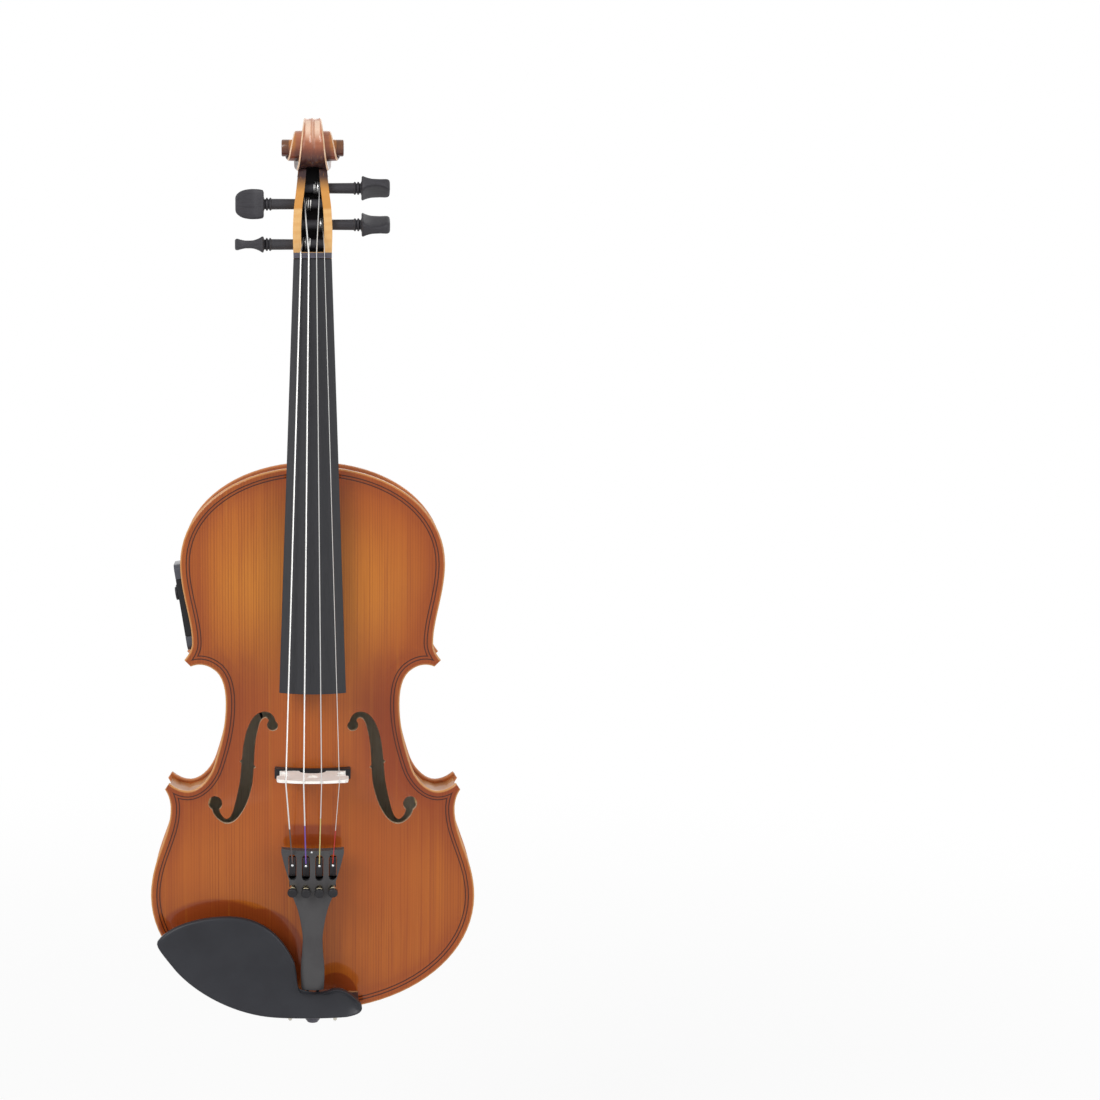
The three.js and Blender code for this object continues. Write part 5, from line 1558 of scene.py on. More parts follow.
@dataclass(frozen=True)
class NeckSizes:
    """The neck's and the head's own sizes in millimetres, and their shares."""

    length: float = 131.0
    set_height: float = 27.4
    slope: float = 0.103
    depth_at_nut: float = 12.8
    depth_at_heel: float = 14.4
    heel_run: float = 34.0
    foot: float = 345.9
    board_length: float = 271.0
    board_nut: float = 24.0
    board_end: float = 42.0
    board_edge: float = 4.8
    board_radius: float = 42.0
    box_length: float = 56.0
    box_width: float = 25.0
    box_top: float = 18.4
    cheek: float = 5.2
    box_depth: float = 24.0
    box_lean: float = 0.32
    box_floor: float = 5.0
    scroll_height: float = 69.2
    scroll_radius: float = 19.0
    scroll_setback: float = 21.5
    scroll_turn: float = 0.562
    eye_width: float = 39.4
    eye_share: float = 0.28
    flute_shares: Rows = ((0, 0.7), (0.3, 0.7), (0.42, 0.8), (0.55, 1.3), (0.8, 1.5), (1, 1.1))
    flute_stations: tuple[float, ...] = (0.94, 0.87, 0.78, 0.67, 0.55, 0.43, 0.31, 0.21, 0.13, 0.07)
    flute_round: float = 0.6
    ridge_drop: float = 0.1
    chamfer: float = 0.9
    step_drop: float = 1.4
    eye_rim: float = 0.7
    gap: float = 0.3
    shaft_square: float = 0.82
    box_square: float = 0.3
    past: float = 12.0
    bore: float = 3.75
    slot_start: float = 3.8
    slot_past: float = 1.2
    heel_shares: Rows = ((0, 1), (0.31, 1), (0.37, 0.74), (0.46, 0.44), (0.6, 0.19), (0.8, 0.05), (1, 0))
    depth_shares: Rows = ((0, 0.533), (0.05, 0.72), (0.12, 0.84), (0.25, 0.95), (0.4, 1), (1, 0.83))
    taper_shares: Rows = ((0, 0), (0.3, 0.02), (0.53, 0.18), (0.75, 0.62), (0.9, 0.88), (1, 1))
    width_shares: Rows = (
        (0, 0.5), (0.39, 0.285), (0.64, 0.39), (0.86, 0.52), (1, 0.6), (1.39, 0.6), (1.7, 0.74), (2, 0.88),
    )


@dataclass(frozen=True)
class Section:
    """A section across the neck: flat on top, its bottom between round and square."""

    half: float
    foot_share: float
    depth: float
    square: float
    top: float

    def points(self, z: float) -> list[Vector]:
        """Returns the section's ring at a station along the neck.

        Args:
            z: The station in millimetres.

        Returns:
            The ring's places in the frame.
        """
        ring = []
        for i in range(29):
            angle = math.pi * i / 28
            cosine = math.cos(angle)
            across = math.copysign(abs(cosine) ** self.square, cosine) if abs(cosine) > 1e-9 else 0.0
            down = max(math.sin(angle), 0.0) ** self.square
            x = self.half * across * mix(1, self.foot_share, down)
            ring.append(put(x, self.top + self.depth * down, z))
        return ring


@dataclass
class Neck:
    """The neck, pegbox and scroll as one carving, with the fingerboard on top of it."""

    sizes: NeckSizes = field(default_factory=NeckSizes)
    body: BodySizes = field(default_factory=BodySizes)
    turn_steps: int = 96
    start_turn: float = -0.14
    top_turn: float = 0.25

    @property
    def nut(self) -> float:
        """The nut's station."""
        return self.body.length + self.sizes.length

    def glue(self, z: float) -> float:
        """Returns the level of the face under the fingerboard."""
        return -(self.sizes.set_height + self.sizes.slope * (self.body.length - z))

    def board_half(self, z: float) -> float:
        """Returns the fingerboard's half width."""
        return mix(self.sizes.board_nut, self.sizes.board_end, (self.nut - z) / self.sizes.board_length) / 2

    def board_level(self, x: float, z: float) -> float:
        """Returns the level of the fingerboard's playing face."""
        crown = arc_drop(self.sizes.board_radius, self.board_half(z)) - arc_drop(self.sizes.board_radius, x)
        return self.glue(z) - self.sizes.gap - self.sizes.board_edge - crown

    def shaft(self, z: float) -> Section:
        """Returns the section of the heel and shaft at a station.

        Args:
            z: The station in millimetres.

        Returns:
            The section.
        """
        sizes = self.sizes
        heel = read_rows(sizes.heel_shares, max((z - self.body.length) / sizes.heel_run, 0))
        along = clamp((z - self.body.length) / sizes.length, 0, 1)
        half, top = self.board_half(z), self.glue(z)
        full = self.body.seat - sizes.gap - top
        return Section(
            half,
            mix(1, self.body.button_width / 2 / half, heel),
            mix(mix(sizes.depth_at_heel, sizes.depth_at_nut, along), full, heel),
            mix(sizes.shaft_square, sizes.box_square, heel),
            top,
        )

    def box(self, z: float) -> Section:
        """Returns the section of the pegbox at a station.

        Args:
            z: The station in millimetres.

        Returns:
            The section.
        """
        sizes = self.sizes
        along = (z - self.nut) / sizes.box_length
        early = min(4 * along, 1)
        start = mix(sizes.board_nut, sizes.box_width, early)
        return Section(
            mix(start, sizes.box_top, read_rows(sizes.taper_shares, along)) / 2,
            1,
            sizes.box_depth * read_rows(sizes.depth_shares, along),
            mix(sizes.shaft_square, sizes.box_square, early),
            self.glue(self.nut) + sizes.box_lean * (z - self.nut),
        )

    def _carving(self) -> Mesh:
        """Returns the heel, shaft and pegbox as one loft.

        Returns:
            The closed mesh.
        """
        sizes, low, nut = self.sizes, self.body.length, self.nut
        bend = low + sizes.heel_run
        shaft = [sizes.foot, *stepped(low, bend, 22), *stepped(bend, nut, 8)[1:]]
        rings = [self.shaft(z).points(z) for z in shaft]
        rings += [self.box(z).points(z) for z in stepped(nut, nut + sizes.box_length, 36)[1:]]
        return Skin.loft(rings)

    def _slot(self) -> Mesh:
        """Returns the pegbox's hollow.

        Returns:
            The closed mesh.
        """
        sizes = self.sizes
        low, high = self.nut + sizes.slot_start, self.nut + sizes.box_length + sizes.slot_past
        rings = []
        for z in stepped(low, high, 14):
            form = self.box(z)
            side, top = form.half - sizes.cheek, form.top - sizes.past
            floor = form.top + form.depth - sizes.box_floor
            corners = ((side, top), (side, floor), (-side, floor), (-side, top))
            rings.append([put(x, y, z) for x, y in corners])
        return Skin.loft(rings)

    def foot_room(self) -> Mesh:
        """Returns the room that the neck's foot takes in the belly.

        Returns:
            The closed mesh.
        """
        gap, past = self.sizes.gap, self.sizes.past
        foot = self.body.seat - gap
        rings = []
        for z in (self.sizes.foot - gap, self.body.length, self.body.length + past):
            top = self.glue(z)
            levels = (top - past, self.body.seat + past)
            shares = [(level - top) / (foot - top) for level in levels]
            wide, narrow = (gap + mix(self.board_half(z), self.body.button_width / 2, s) for s in shares)
            places = ((wide, levels[0]), (narrow, levels[1]), (-narrow, levels[1]), (-wide, levels[0]))
            rings.append([put(x, y, z) for x, y in places])
        return Skin.loft(rings)

    def _scroll_middle(self) -> Vector:
        """Returns the middle of the scroll."""
        sizes = self.sizes
        return put(0, self.glue(self.nut) + sizes.scroll_setback, self.nut + sizes.scroll_height)

    def _spiral(self, step: float, x: float, change: float) -> Vector:
        """Returns a place on the scroll's spiral.

        Args:
            step: Steps along the spiral.
            x: The place across the scroll.
            change: What is added to the spiral's radius there.

        Returns:
            The place in the frame.
        """
        sizes = self.sizes
        turn = step / self.turn_steps
        angle = math.tau * (self.start_turn + turn)
        radius = sizes.scroll_radius * sizes.scroll_turn ** (self.start_turn + turn - self.top_turn) + change
        y = self.glue(self.nut) + sizes.scroll_setback + radius * math.cos(angle)
        return put(x, y, self.nut + sizes.scroll_height + radius * math.sin(angle))

    def _spiral_half(self, step: float) -> float:
        """Returns the scroll's half width at a step."""
        return self.sizes.eye_width / 2 * read_rows(self.sizes.width_shares, step / self.turn_steps)

    def _scroll_row(self, step: int) -> list[Vector]:
        """Returns a row of places from the bass side's pit over the ridge to the treble side's pit.

        Args:
            step: Steps along the spiral.

        Returns:
            The row's places in the frame.
        """
        sizes, turn = self.sizes, self.turn_steps
        flute = read_rows(sizes.flute_shares, step / turn)
        half, inner = self._spiral_half(step), self._spiral_half(step + turn)
        sunk = self._spiral_half(turn) - 4 * sizes.step_drop
        edge = sizes.chamfer
        side = [
            Vector((sunk * MM, 0, 0)) + self._scroll_middle(),
            self._spiral(step + turn, inner, -edge),
            self._spiral(step + turn, inner - edge, 0),
            self._spiral(step + turn, half - sizes.step_drop, sizes.gap),
            self._spiral(step, half, -edge),
            self._spiral(step, half - edge, 0),
        ]
        for share in sizes.flute_stations:
            dip = flute * math.sin(math.pi * share) ** sizes.flute_round
            side.append(self._spiral(step, (half - edge) * share, -dip))
        middle = self._spiral(step, 0, -sizes.ridge_drop)
        mirrored = [Vector((-point.x, point.y, point.z)) for point in side]
        return [*mirrored, middle, *reversed(side)]

    def _scroll(self) -> Mesh:
        """Returns the scroll: one turn of rows, closed at its two ends, and the eye's boss.

        Returns:
            The closed mesh.
        """
        skin = Skin()
        rows = [self._scroll_row(step) for step in range(self.turn_steps + 1)]
        skin.start(rows[0])
        for row in rows[1:]:
            skin.grow(row)
        self._mark_edges(skin)
        bmesh.ops.remove_doubles(skin.mesh, verts=skin.mesh.verts, dist=2e-6)
        bmesh.ops.dissolve_degenerate(skin.mesh, edges=skin.mesh.edges, dist=SLIVER)
        bmesh.ops.delete(skin.mesh, geom=[e for e in skin.mesh.edges if e.is_wire], context="EDGES")
        bmesh.ops.holes_fill(skin.mesh, edges=[e for e in skin.mesh.edges if e.is_boundary])
        bmesh.ops.recalc_face_normals(skin.mesh, faces=skin.mesh.faces)
        return skin.mesh

    def _mark_edges(self, skin: Skin) -> None:
        """Gives the chamfers along the scroll's edges their pale colour, a painted highlight.

        Args:
            skin: The scroll's skin.
        """
        width = self.sizes.chamfer * MM
        for face in skin.mesh.faces:
            slants = [edge.verts[0].co - edge.verts[1].co for edge in face.edges]
            steep = [s for s in slants if abs(abs(s.x) - width) < width * 0.02 and s.length > width * 1.35]
            if len(slants) == 4 and len(steep) == 2:
                face.material_index = 1

    def _eye(self) -> Mesh:
        """Returns the boss at the middle of the scroll, with a rounded rim.

        Returns:
            The closed mesh.
        """
        sizes = self.sizes
        radius, half, rim = sizes.scroll_radius * sizes.eye_share, sizes.eye_width / 2, sizes.eye_rim
        side = [(half - rim, radius), (half - 0.2, radius - 0.25), (half, radius - rim), (half, 0)]
        profile = [(-along, across) for along, across in reversed(side)] + side
        return spun(profile, self._scroll_middle(), Vector((1, 0, 0)), 48)

    def build(self, pegs: Rows) -> None:
        """Makes the carving and the fingerboard.

        Args:
            pegs: Each peg's height above the nut and its level.
        """
        holes = []
        for height, y in pegs:
            z = self.nut + height
            side = self.sizes.box_width
            holes.append(rod_mesh(self.sizes.bore, put(-side, y, z), put(side, y, z), 40))
        Piece(
            "neck_fine", self._carving(), Finish.HEAD, "neck_maple", ("neck_and_scroll",),
            joins=[self._scroll(), self._eye()], cutters=[self._slot(), *holes], cut_finish=Finish.THROAT,
            more=(Finish.HEAD_EDGE,), sharp=38.0,
        ).settle()
        self._board()

    def _board(self) -> None:
        """Makes the fingerboard, arched on top and hollowed below past the neck."""
        sizes = self.sizes
        end, radius = self.nut - sizes.board_length, sizes.board_radius / 3
        rings = []
        for z in stepped(end, self.nut - sizes.gap, 8):
            half = self.board_half(z)
            arc = [put(x, self.board_level(x, z), z) for x in stepped(-half, half, 24)]
            under = self.glue(z) - sizes.gap
            rings.append([*arc, put(half, under, z), put(-half, under, z)])
        start, stop = (
            put(0, self.glue(z) + radius - sizes.board_edge, z)
            for z in (end - sizes.past, self.body.length - self.body.button_width)
        )
        Piece(
            "fingerboard_fine", Skin.loft(rings), Finish.BOARD, "ebony", ("fingerboard",),
            cutters=[rod_mesh(radius, start, stop, 48)], bevel=0.4, sharp=30.0,
        ).settle()


# Fittings


class Pitch(Enum):
    """The four strings: their peg's height above the nut, level, side and rest turn, and their finish."""

    G = (8.6, -3.234, -1, math.pi / 2, Finish.STRING_G)
    D = (34.0, 5.769, -1, 0.0, Finish.STRING_D)
    A = (44.0, 8.362, 1, math.pi * 0.36, Finish.STRING_A)
    E = (21.0, 2.213, 1, -math.pi * 0.36, Finish.STRING_E)

    @property
    def low(self) -> str:
        """The string's name in small letters."""
        return self.name.lower()


@dataclass
class Pegs:
    """Four turned pegs with collars and carved thumb pieces."""

    neck: Neck
    reach: float = 26.0
    tip: float = 3.1
    shank: float = 3.4
    collar: float = 4.2
    collar_length: float = 5.0
    head_length: float = 18.0
    head_width: float = 19.0
    head_base: float = 10.5
    head_shares: tuple[Triple, ...] = (
        (0, 0.8, 0.96), (0.03, 0.92, 1.04), (0.1, 0.96, 0.9), (0.22, 0.99, 0.68), (0.42, 1, 0.5),
        (0.62, 0.96, 0.5), (0.8, 0.86, 0.62), (0.92, 0.7, 0.74), (0.98, 0.56, 0.7), (1, 0.42, 0.5),
    )
    head_square: float = 0.38
    head_stations: tuple[float, ...] = (
        0, 0.015, 0.03, 0.06, 0.1, 0.17, 0.25, 0.35, 0.45, 0.55, 0.65, 0.75, 0.83, 0.9, 0.95, 0.985, 1,
    )
    waist_share: float = 0.92
    tip_gap: float = 0.35
    head_bulge: Pair = (1.12, 0.94)

    def _head(self) -> Mesh:
        """Returns the thumb piece about Z, broad along X.

        Returns:
            The closed mesh.
        """
        start = self.reach + self.collar_length
        broad = [(row[0], row[1]) for row in self.head_shares]
        thick = [(row[0], row[2]) for row in self.head_shares]
        rings = []
        for share in self.head_stations:
            wide = self.head_width / 2 * read_rows(broad, share)
            deep = self.head_base / 2 * read_rows(thick, share)
            ring = []
            for i in range(48):
                angle = math.tau * (i + 0.5) / 48
                c, s = math.cos(angle), math.sin(angle)
                x = wide * math.copysign(abs(c) ** self.head_square, c)
                y = deep * math.copysign(abs(s) ** self.head_square, s) * mix(*self.head_bulge, abs(s))
                ring.append(Vector((x, y, start + self.head_length * share)) * MM)
            rings.append(ring)
        return Skin.loft(rings)

    def _shank(self, half: float) -> Mesh:
        """Returns the tapered shank and its collar about Z.

        Args:
            half: The pegbox's half width at the peg.

        Returns:
            The closed mesh.
        """
        tip, start, end = self.tip_gap - half, self.reach, self.reach + self.collar_length
        collar, waist = self.collar, self.shank * self.waist_share
        profile = [
            (tip, 0), (tip, self.tip - 0.4), (tip + 0.4, self.tip), (start, self.shank),
            (start + 0.3, collar - 0.3), (start + 0.8, collar), (start + 1.3, collar - 0.3),
            (start + 1.7, waist), (start + 2.1, waist), (start + 2.5, collar - 0.2), (start + 3.0, collar),
            (start + 3.4, collar - 0.2), (start + 3.8, waist), (end - 0.6, waist),
            (end + 0.2, self.head_base / 2), (end + 0.6, 0),
        ]
        return spun(profile, Vector((0, 0, 0)), Vector((0, 0, 1)), 36)

    def build(self) -> None:
        """Makes the four pegs in their places."""
        for pitch in Pitch:
            height, y, side, turn, _ = pitch.value
            z = self.neck.nut + height
            mesh = gathered([self._shank(self.neck.box(z).half), self._head()])
            lay = Matrix.Rotation(math.pi / 2, 4, "Y")
            rest = Matrix.Rotation(turn, 4, "X") @ Matrix.Rotation(0 if side > 0 else math.pi, 4, "Z")
            bmesh.ops.transform(mesh, matrix=Matrix.Translation(put(0, y, z)) @ rest @ lay, verts=mesh.verts)
            body = f"peg_{pitch.low}"
            Piece(
                f"{body}_fine", mesh, Finish.PEG, "ebony", (body,), body,
                sharp=38.0, bevel=0.25, bevel_angle=45.0,
            ).settle()


@dataclass
class Tail:
    """The tailpiece with its four slots, and the tuners' levers and screws in it."""

    station: float = 19.8
    length: float = 95.0
    head: float = 20.5
    head_height: float = 50.0
    tail_height: float = 38.0
    thickness: float = 7.0
    crown: float = 4.0
    roll: float = 1.5
    slot_low: float = 94.6
    slot_high: float = 112.0
    slot_width: float = 5.0
    string_span: float = 25.6
    tilt: float = math.pi / 9
    screw: float = 1.4
    screw_station: float = 89.3
    knob: float = 3.15
    knob_length: float = 3.2
    stand: float = 3.1
    lever_low: float = 87.9
    lever_bend: float = 94.8
    hook: float = 110.4
    fork: float = 4.3
    lever_gap: float = 1.15
    lever_thickness: float = 1.8
    lever_run: float = 2.4
    ball: float = 0.95
    ball_drop: float = 5.6
    ball_sink: float = 0.7
    throat_half: float = 0.45
    cut_levels: Pair = (-62.0, -20.0)
    screw_room: float = 0.25
    screw_past: float = 12.0
    recess: float = 2.7
    recess_depth: float = 1.3
    recess_past: float = 9.0
    end_share: float = 0.97
    end_lift: float = 0.4
    dot_inset: float = 0.8
    dot_profile: Rows = ((-0.6, 0), (-0.6, 0.6), (0.05, 0.6), (0.12, 0.5), (0.12, 0))
    widths: Rows = (
        (0, 0.35), (0.12, 0.372), (0.25, 0.335), (0.365, 0.31), (0.485, 0.375), (0.585, 0.48), (0.694, 0.66),
        (0.77, 0.72), (0.875, 0.864), (1, 1),
    )

    def half(self, z: float) -> float:
        """Returns the tailpiece's half width at a station."""
        return self.head * read_rows(self.widths, (z - self.station) / self.length)

    def level(self, x: float, z: float) -> float:
        """Returns the level of its top face."""
        top = mix(self.tail_height, self.head_height, (z - self.station) / self.length)
        return -top + self.crown * (x / self.head) ** 2

    def string_x(self, pitch: Pitch) -> float:
        """Returns a string's place across the tailpiece."""
        order = ("G", "D", "A", "E").index(pitch.name)
        return mix(-self.string_span / 2, self.string_span / 2, order / 3)

    def _pocket(self, x: float) -> list[Mesh]:
        """Returns what is cut out for one slot: a box with two round ends.

        Args:
            x: The slot's middle.

        Returns:
            The box and the two ends.
        """
        half = self.slot_width / 2
        low, high = self.slot_low + half, self.slot_high - half
        near, far = self.cut_levels
        return [
            box_mesh((x - half, near, low), (x + half, far, high)),
            rod_mesh(half, put(x, near, low), put(x, far, low), 24),
            rod_mesh(half, put(x, near, high), put(x, far, high), 24),
        ]

    def build(self) -> None:
        """Makes the tailpiece, the four levers and the four screws."""
        top = self.station + self.length
        rings = []
        for i, z in enumerate(stepped(self.station, top, 40)):
            at_end = i in (0, 40)
            half = self.half(z) * (self.end_share if at_end else 1)
            lift = self.end_lift if at_end else 0.0
            across = [half * math.sin(math.pi * share) for share in stepped(-0.5, 0.5, 24)]
            upper = [put(x, self.level(x, z) + lift + self.roll * abs(x / half) ** 5, z) for x in across]
            lower = [put(x, self.level(x, z) + self.thickness, z) for x in reversed(across)]
            rings.append(upper + lower)
        cutters = []
        out = Vector((0, -math.cos(self.tilt), -math.sin(self.tilt)))
        for pitch in Pitch:
            x = self.string_x(pitch)
            cutters += self._pocket(x)
            foot = put(x, self.level(x, self.screw_station), self.screw_station)
            for radius, deep, high, sides in (
                (self.screw + self.screw_room, self.screw_past, self.screw_past, 24),
                (self.recess, self.recess_depth, self.recess_past, 32),
            ):
                cutters.append(rod_mesh(radius, foot - out * deep * MM, foot + out * high * MM, sides))
            self._screw(pitch, foot, out)
            self._lever(pitch, x)
        Piece(
            "tailpiece_fine", Skin.loft(rings), Finish.TAIL, "black_plastic", ("tailpiece",),
            cutters=cutters, sharp=35.0, bevel=0.35, bevel_angle=52.0,
        ).settle()
        high = top - self.dot_inset
        dot = spun(self.dot_profile, put(-0.6, self.level(0, high), high), Vector((0, -1, 0)), 20)
        Piece("tailpiece_dot", dot, Finish.PEARL, "black_plastic").settle()

    def _screw(self, pitch: Pitch, foot: Vector, out: Vector) -> None:
        """Makes one tuner screw: a brass shank with a rounded shoulder, and a black knob.

        Args:
            pitch: The string that it tunes.
            foot: Where it enters the tailpiece.
            out: The way that it points.
        """
        tip = 0.3 - self.thickness / math.cos(self.tilt)
        neck, knob = self.stand, self.knob
        end = neck + self.knob_length
        shank = [
            (tip, 0), (tip, self.screw), (0.4, self.screw), (1.0, 2.0), (2.2, 2.3), (neck - 0.1, 1.9),
            (neck - 0.1, 0),
        ]
        rim = [
            (neck, 0), (neck, knob - 1.0), (neck + 0.3, knob - 0.35), (neck + 0.7, knob), (end - 0.7, knob),
            (end - 0.25, knob - 0.3), (end, knob - 0.9), (end - 0.15, knob - 1.5), (end - 0.15, 0),
        ]
        body = f"tuner_screw_{pitch.low}"
        turned = spun(shank, foot, out, 24)
        Piece(f"{body}_shank", turned, Finish.BRASS, "brass", (body,), body).settle()
        turned = spun(rim, foot, out, 40)
        Piece(f"{body}_knob", turned, Finish.KNOB, "black_plastic", (body,), body, sharp=32.0).settle()

    def _lever(self, pitch: Pitch, x: float) -> None:
        """Makes one lever: a bent bar under the tailpiece that forks at its top round the string's ball.

        Args:
            pitch: The string that it holds.
            x: Its middle.
        """
        level, run = self.level(x, self.hook), self.lever_run
        middle = level + self.thickness / 2
        low, bend = self.lever_low, self.lever_bend
        under_low, under_bend = (self.level(x, z) + self.thickness + self.lever_gap for z in (low, bend))
        side = (
            (level, self.hook), (level, self.hook - run), (middle, bend + run), (under_bend, bend),
            (under_low, low), (under_low + self.lever_thickness, low),
            (under_bend + self.lever_thickness, bend + run), (middle, self.hook),
        )
        half = self.fork / 2
        bar = Skin.loft([[put(at, y, z) for y, z in side] for at in (x - half, x + half)])
        seat = self.hook - self.ball_drop
        ball = bmesh.new()
        bmesh.ops.create_uvsphere(ball, u_segments=20, v_segments=12, radius=self.ball * MM)
        bmesh.ops.translate(ball, vec=put(x, level + self.ball_sink, seat), verts=ball.verts)
        throat = self.throat_half
        cutter = box_mesh((x - throat, self.cut_levels[0], seat), (x + throat, 0, self.hook + 6))
        body = f"tuner_lever_{pitch.low}"
        Piece(
            f"{body}_fork", bar, Finish.BLACK_NICKEL, "nickel", (body,), body, cutters=[cutter], bevel=0.2
        ).settle()
        Piece(f"{body}_ball", ball, Finish.STEEL, "nickel", (body,), body, sharp=80.0).settle()


@dataclass
class Chinrest:
    """The dished chinrest with its two lugs."""

    reach: float = 100.0
    height: float = 69.0
    thickness: float = 5.0
    level: float = 41.0
    dish: float = 3.0
    lug_x: float = 25.0
    lug_half: float = 4.5
    lug_start: float = 4.35
    lug_depth: float = 9.0
    lug_foot: float = 22.0
    shares: Rows = (
        (-0.995, 0.76), (-0.93, 0.9), (-0.75, 0.995), (-0.534, 0.997), (-0.33, 0.99), (-0.2, 0.83),
        (-0.119, 0.57), (-0.094, 0.43), (-0.105, 0.275), (-0.07, 0.262), (0, 0.255), (0.08, 0.262),
        (0.12, 0.3), (0.18, 0.34), (0.26, 0.26), (0.31, 0.167), (0.34, 0.09), (0.29, 0.06), (0.22, 0.04),
        (0.08, 0.02), (-0.14, 0.02), (-0.248, 0.032), (-0.52, 0.06), (-0.78, 0.29), (-0.9, 0.52),
        (-0.97, 0.65), (-1.01, 0.72), (-0.995, 0.76),
    )
    steps: tuple[int, ...] = (12, 12, 12, 12, 8, 8, 12, 18, 6)
    spine: Rows = ((-0.62, 0.55), (0.22, 0.17))
    dish_shares: tuple[float, ...] = (0.2, 0.3, 0.42, 0.55, 0.7, 0.85)
    dish_round: float = 1.3
    lug_sunk: float = 0.6

    def build(self) -> None:
        """Makes the plate and its lugs."""
        points = [Vector((self.reach * x, self.height * z)) for x, z in self.shares]
        outline: list[Vector] = []
        for piece, steps in enumerate(self.steps):
            outline += bezier(points[3 * piece : 3 * piece + 4], steps)
        rows = self.spine
        spine = []
        for point in outline:
            x = clamp(point.x, self.reach * rows[0][0], self.reach * rows[1][0])
            share = (x / self.reach - rows[0][0]) / (rows[1][0] - rows[0][0])
            spine.append(Vector((x, self.height * mix(rows[0][1], rows[1][1], share))))

        def ring(share: float, level: float) -> list[Vector]:
            """Returns a level ring, a share of the way from the outline to the spine."""
            places = [a.lerp(b, share) for a, b in zip(outline, spine)]
            return [put(place.x, -level, place.y) for place in places]

        under, top = self.level - self.thickness, self.level
        skin = Skin().start(ring(0.3, under + 0.2), closed=True)
        profile = (
            (0.06, under), (0.03, under + 0.12), (0.012, under + 0.5), (0.002, under + 1.1),
            (0.0, under + 1.9), (0.0, top - 1.9), (0.002, top - 1.3), (0.012, top - 0.65), (0.03, top - 0.2),
            (0.055, top - 0.02), (0.085, top - 0.06), (0.13, top - 0.28),
        )
        for share, level in profile:
            skin.grow(ring(share, level))
        for share in self.dish_shares:
            sunk = math.sin(math.pi / 2 * share / self.dish_shares[-1]) ** self.dish_round
            skin.grow(ring(share, top - self.dish * sunk))
        skin.close()
        lugs = [
            box_mesh(
                (x - self.lug_half, -under - self.lug_sunk, self.lug_start),
                (x + self.lug_half, -self.lug_foot, self.lug_start + self.lug_depth),
            )
            for x in (-self.lug_x, self.lug_x)
        ]
        Piece(
            "chinrest_fine", gathered([skin.mesh, *lugs]), Finish.REST, "gloss_black", ("chinrest_plate",),
            sharp=40.0, bevel=0.5, bevel_angle=60.0,
        ).settle()


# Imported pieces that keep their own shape


@dataclass(frozen=True)
class KeptNodes:
    """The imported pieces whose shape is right: they get smooth faces, a fine rounding and a finish."""

    finishes: dict[Finish, tuple[str, ...]] = field(default_factory=lambda: {
        Finish.RIB: ("rib_lower", "rib_upper_left", "rib_upper_right", "rib_waist_left", "rib_waist_right"),
        Finish.BARE: (
            "top_block", "bottom_block", "belly_lining", "back_lining", "bass_bar", "sound_post",
            *(f"corner_block_{level}_{side}" for level in ("lower", "upper") for side in ("left", "right")),
        ),
        Finish.BRIDGE: ("bridge",),
        Finish.NUT: ("nut", "saddle", "end_button"),
        Finish.CASE: ("preamp_housing", "battery_drawer", "pickup_bar"),
        Finish.KNOB: ("volume_knob", "tone_knob"),
        Finish.SILVER: ("preamp_cap_upper", "preamp_cap_lower"),
        Finish.NICKEL: (
            "clamp_bracket", "clamp_hook", "clamp_barrel_left", "clamp_barrel_right", "output_jack",
        ),
        Finish.STEEL: ("coin_cell",),
        Finish.CORK: ("back_cork", "belly_cork_left", "belly_cork_right"),
        Finish.CORD: ("tailgut", "pickup_lead"),
        Finish.BOARD_GREEN: ("preamp_board",),
    })
    rounded: dict[str, float] = field(default_factory=lambda: {
        "bridge": 0.35, "nut": 0.5, "saddle": 0.5, "preamp_housing": 0.35, "preamp_cap_upper": 0.5,
        "preamp_cap_lower": 0.5, "battery_drawer": 0.2, "volume_knob": 0.3, "tone_knob": 0.3,
        "clamp_hook": 0.25, "clamp_bracket": 0.2, "pickup_bar": 0.4, "output_jack": 0.25,
    })
    rounded_from: float = 30.0

    @staticmethod
    def _smoothing() -> bpy.types.NodeTree:
        """Returns the geometry nodes that weld a piece and shade it smooth between its hard edges.

        Returns:
            The node group.
        """
        tree = bpy.data.node_groups.new("smooth_between_edges", "GeometryNodeTree")
        for way in ("INPUT", "OUTPUT"):
            tree.interface.new_socket("Geometry", in_out=way, socket_type="NodeSocketGeometry")
        nodes = Nodes(tree)
        start = nodes.node("NodeGroupInput", {}, {})
        weld = nodes.node("GeometryNodeMergeByDistance", {}, {"Geometry": start, "Distance": NODE_WELD})
        faces = nodes.node("GeometryNodeSetShadeSmooth", {"domain": "FACE"}, {"Geometry": weld})
        angle = nodes.node("GeometryNodeInputMeshEdgeAngle", {}, {}, "Unsigned Angle")
        limits = {"A": angle, "B": math.radians(SHARP)}
        sharp = nodes.node("FunctionNodeCompare", {"operation": "GREATER_THAN"}, limits, "Result")
        marked = {"Geometry": faces, "Selection": sharp, "Shade Smooth": False}
        edges = nodes.node("GeometryNodeSetShadeSmooth", {"domain": "EDGE"}, marked)
        nodes.fill(tree.nodes.new("NodeGroupOutput").inputs[0], edges)
        return tree

    def build(self) -> None:
        """Dresses every kept piece and the strings."""
        looks = dict(self.finishes)
        smoothing = self._smoothing()
        for pitch in Pitch:
            looks[pitch.value[-1]] = (f"string_{pitch.low}",)
        for finish, names in looks.items():
            for name in names:
                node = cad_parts[name]
                node.data.materials.clear()
                node.data.materials.append(finish.material())
                step = node.modifiers.new("smoothing", "NODES")
                step.node_group = smoothing
                if name in self.rounded:
                    add_bevel(node, self.rounded[name], self.rounded_from)
                LOG.info("%s dressed in %s", name, finish.name.lower())


# Studio


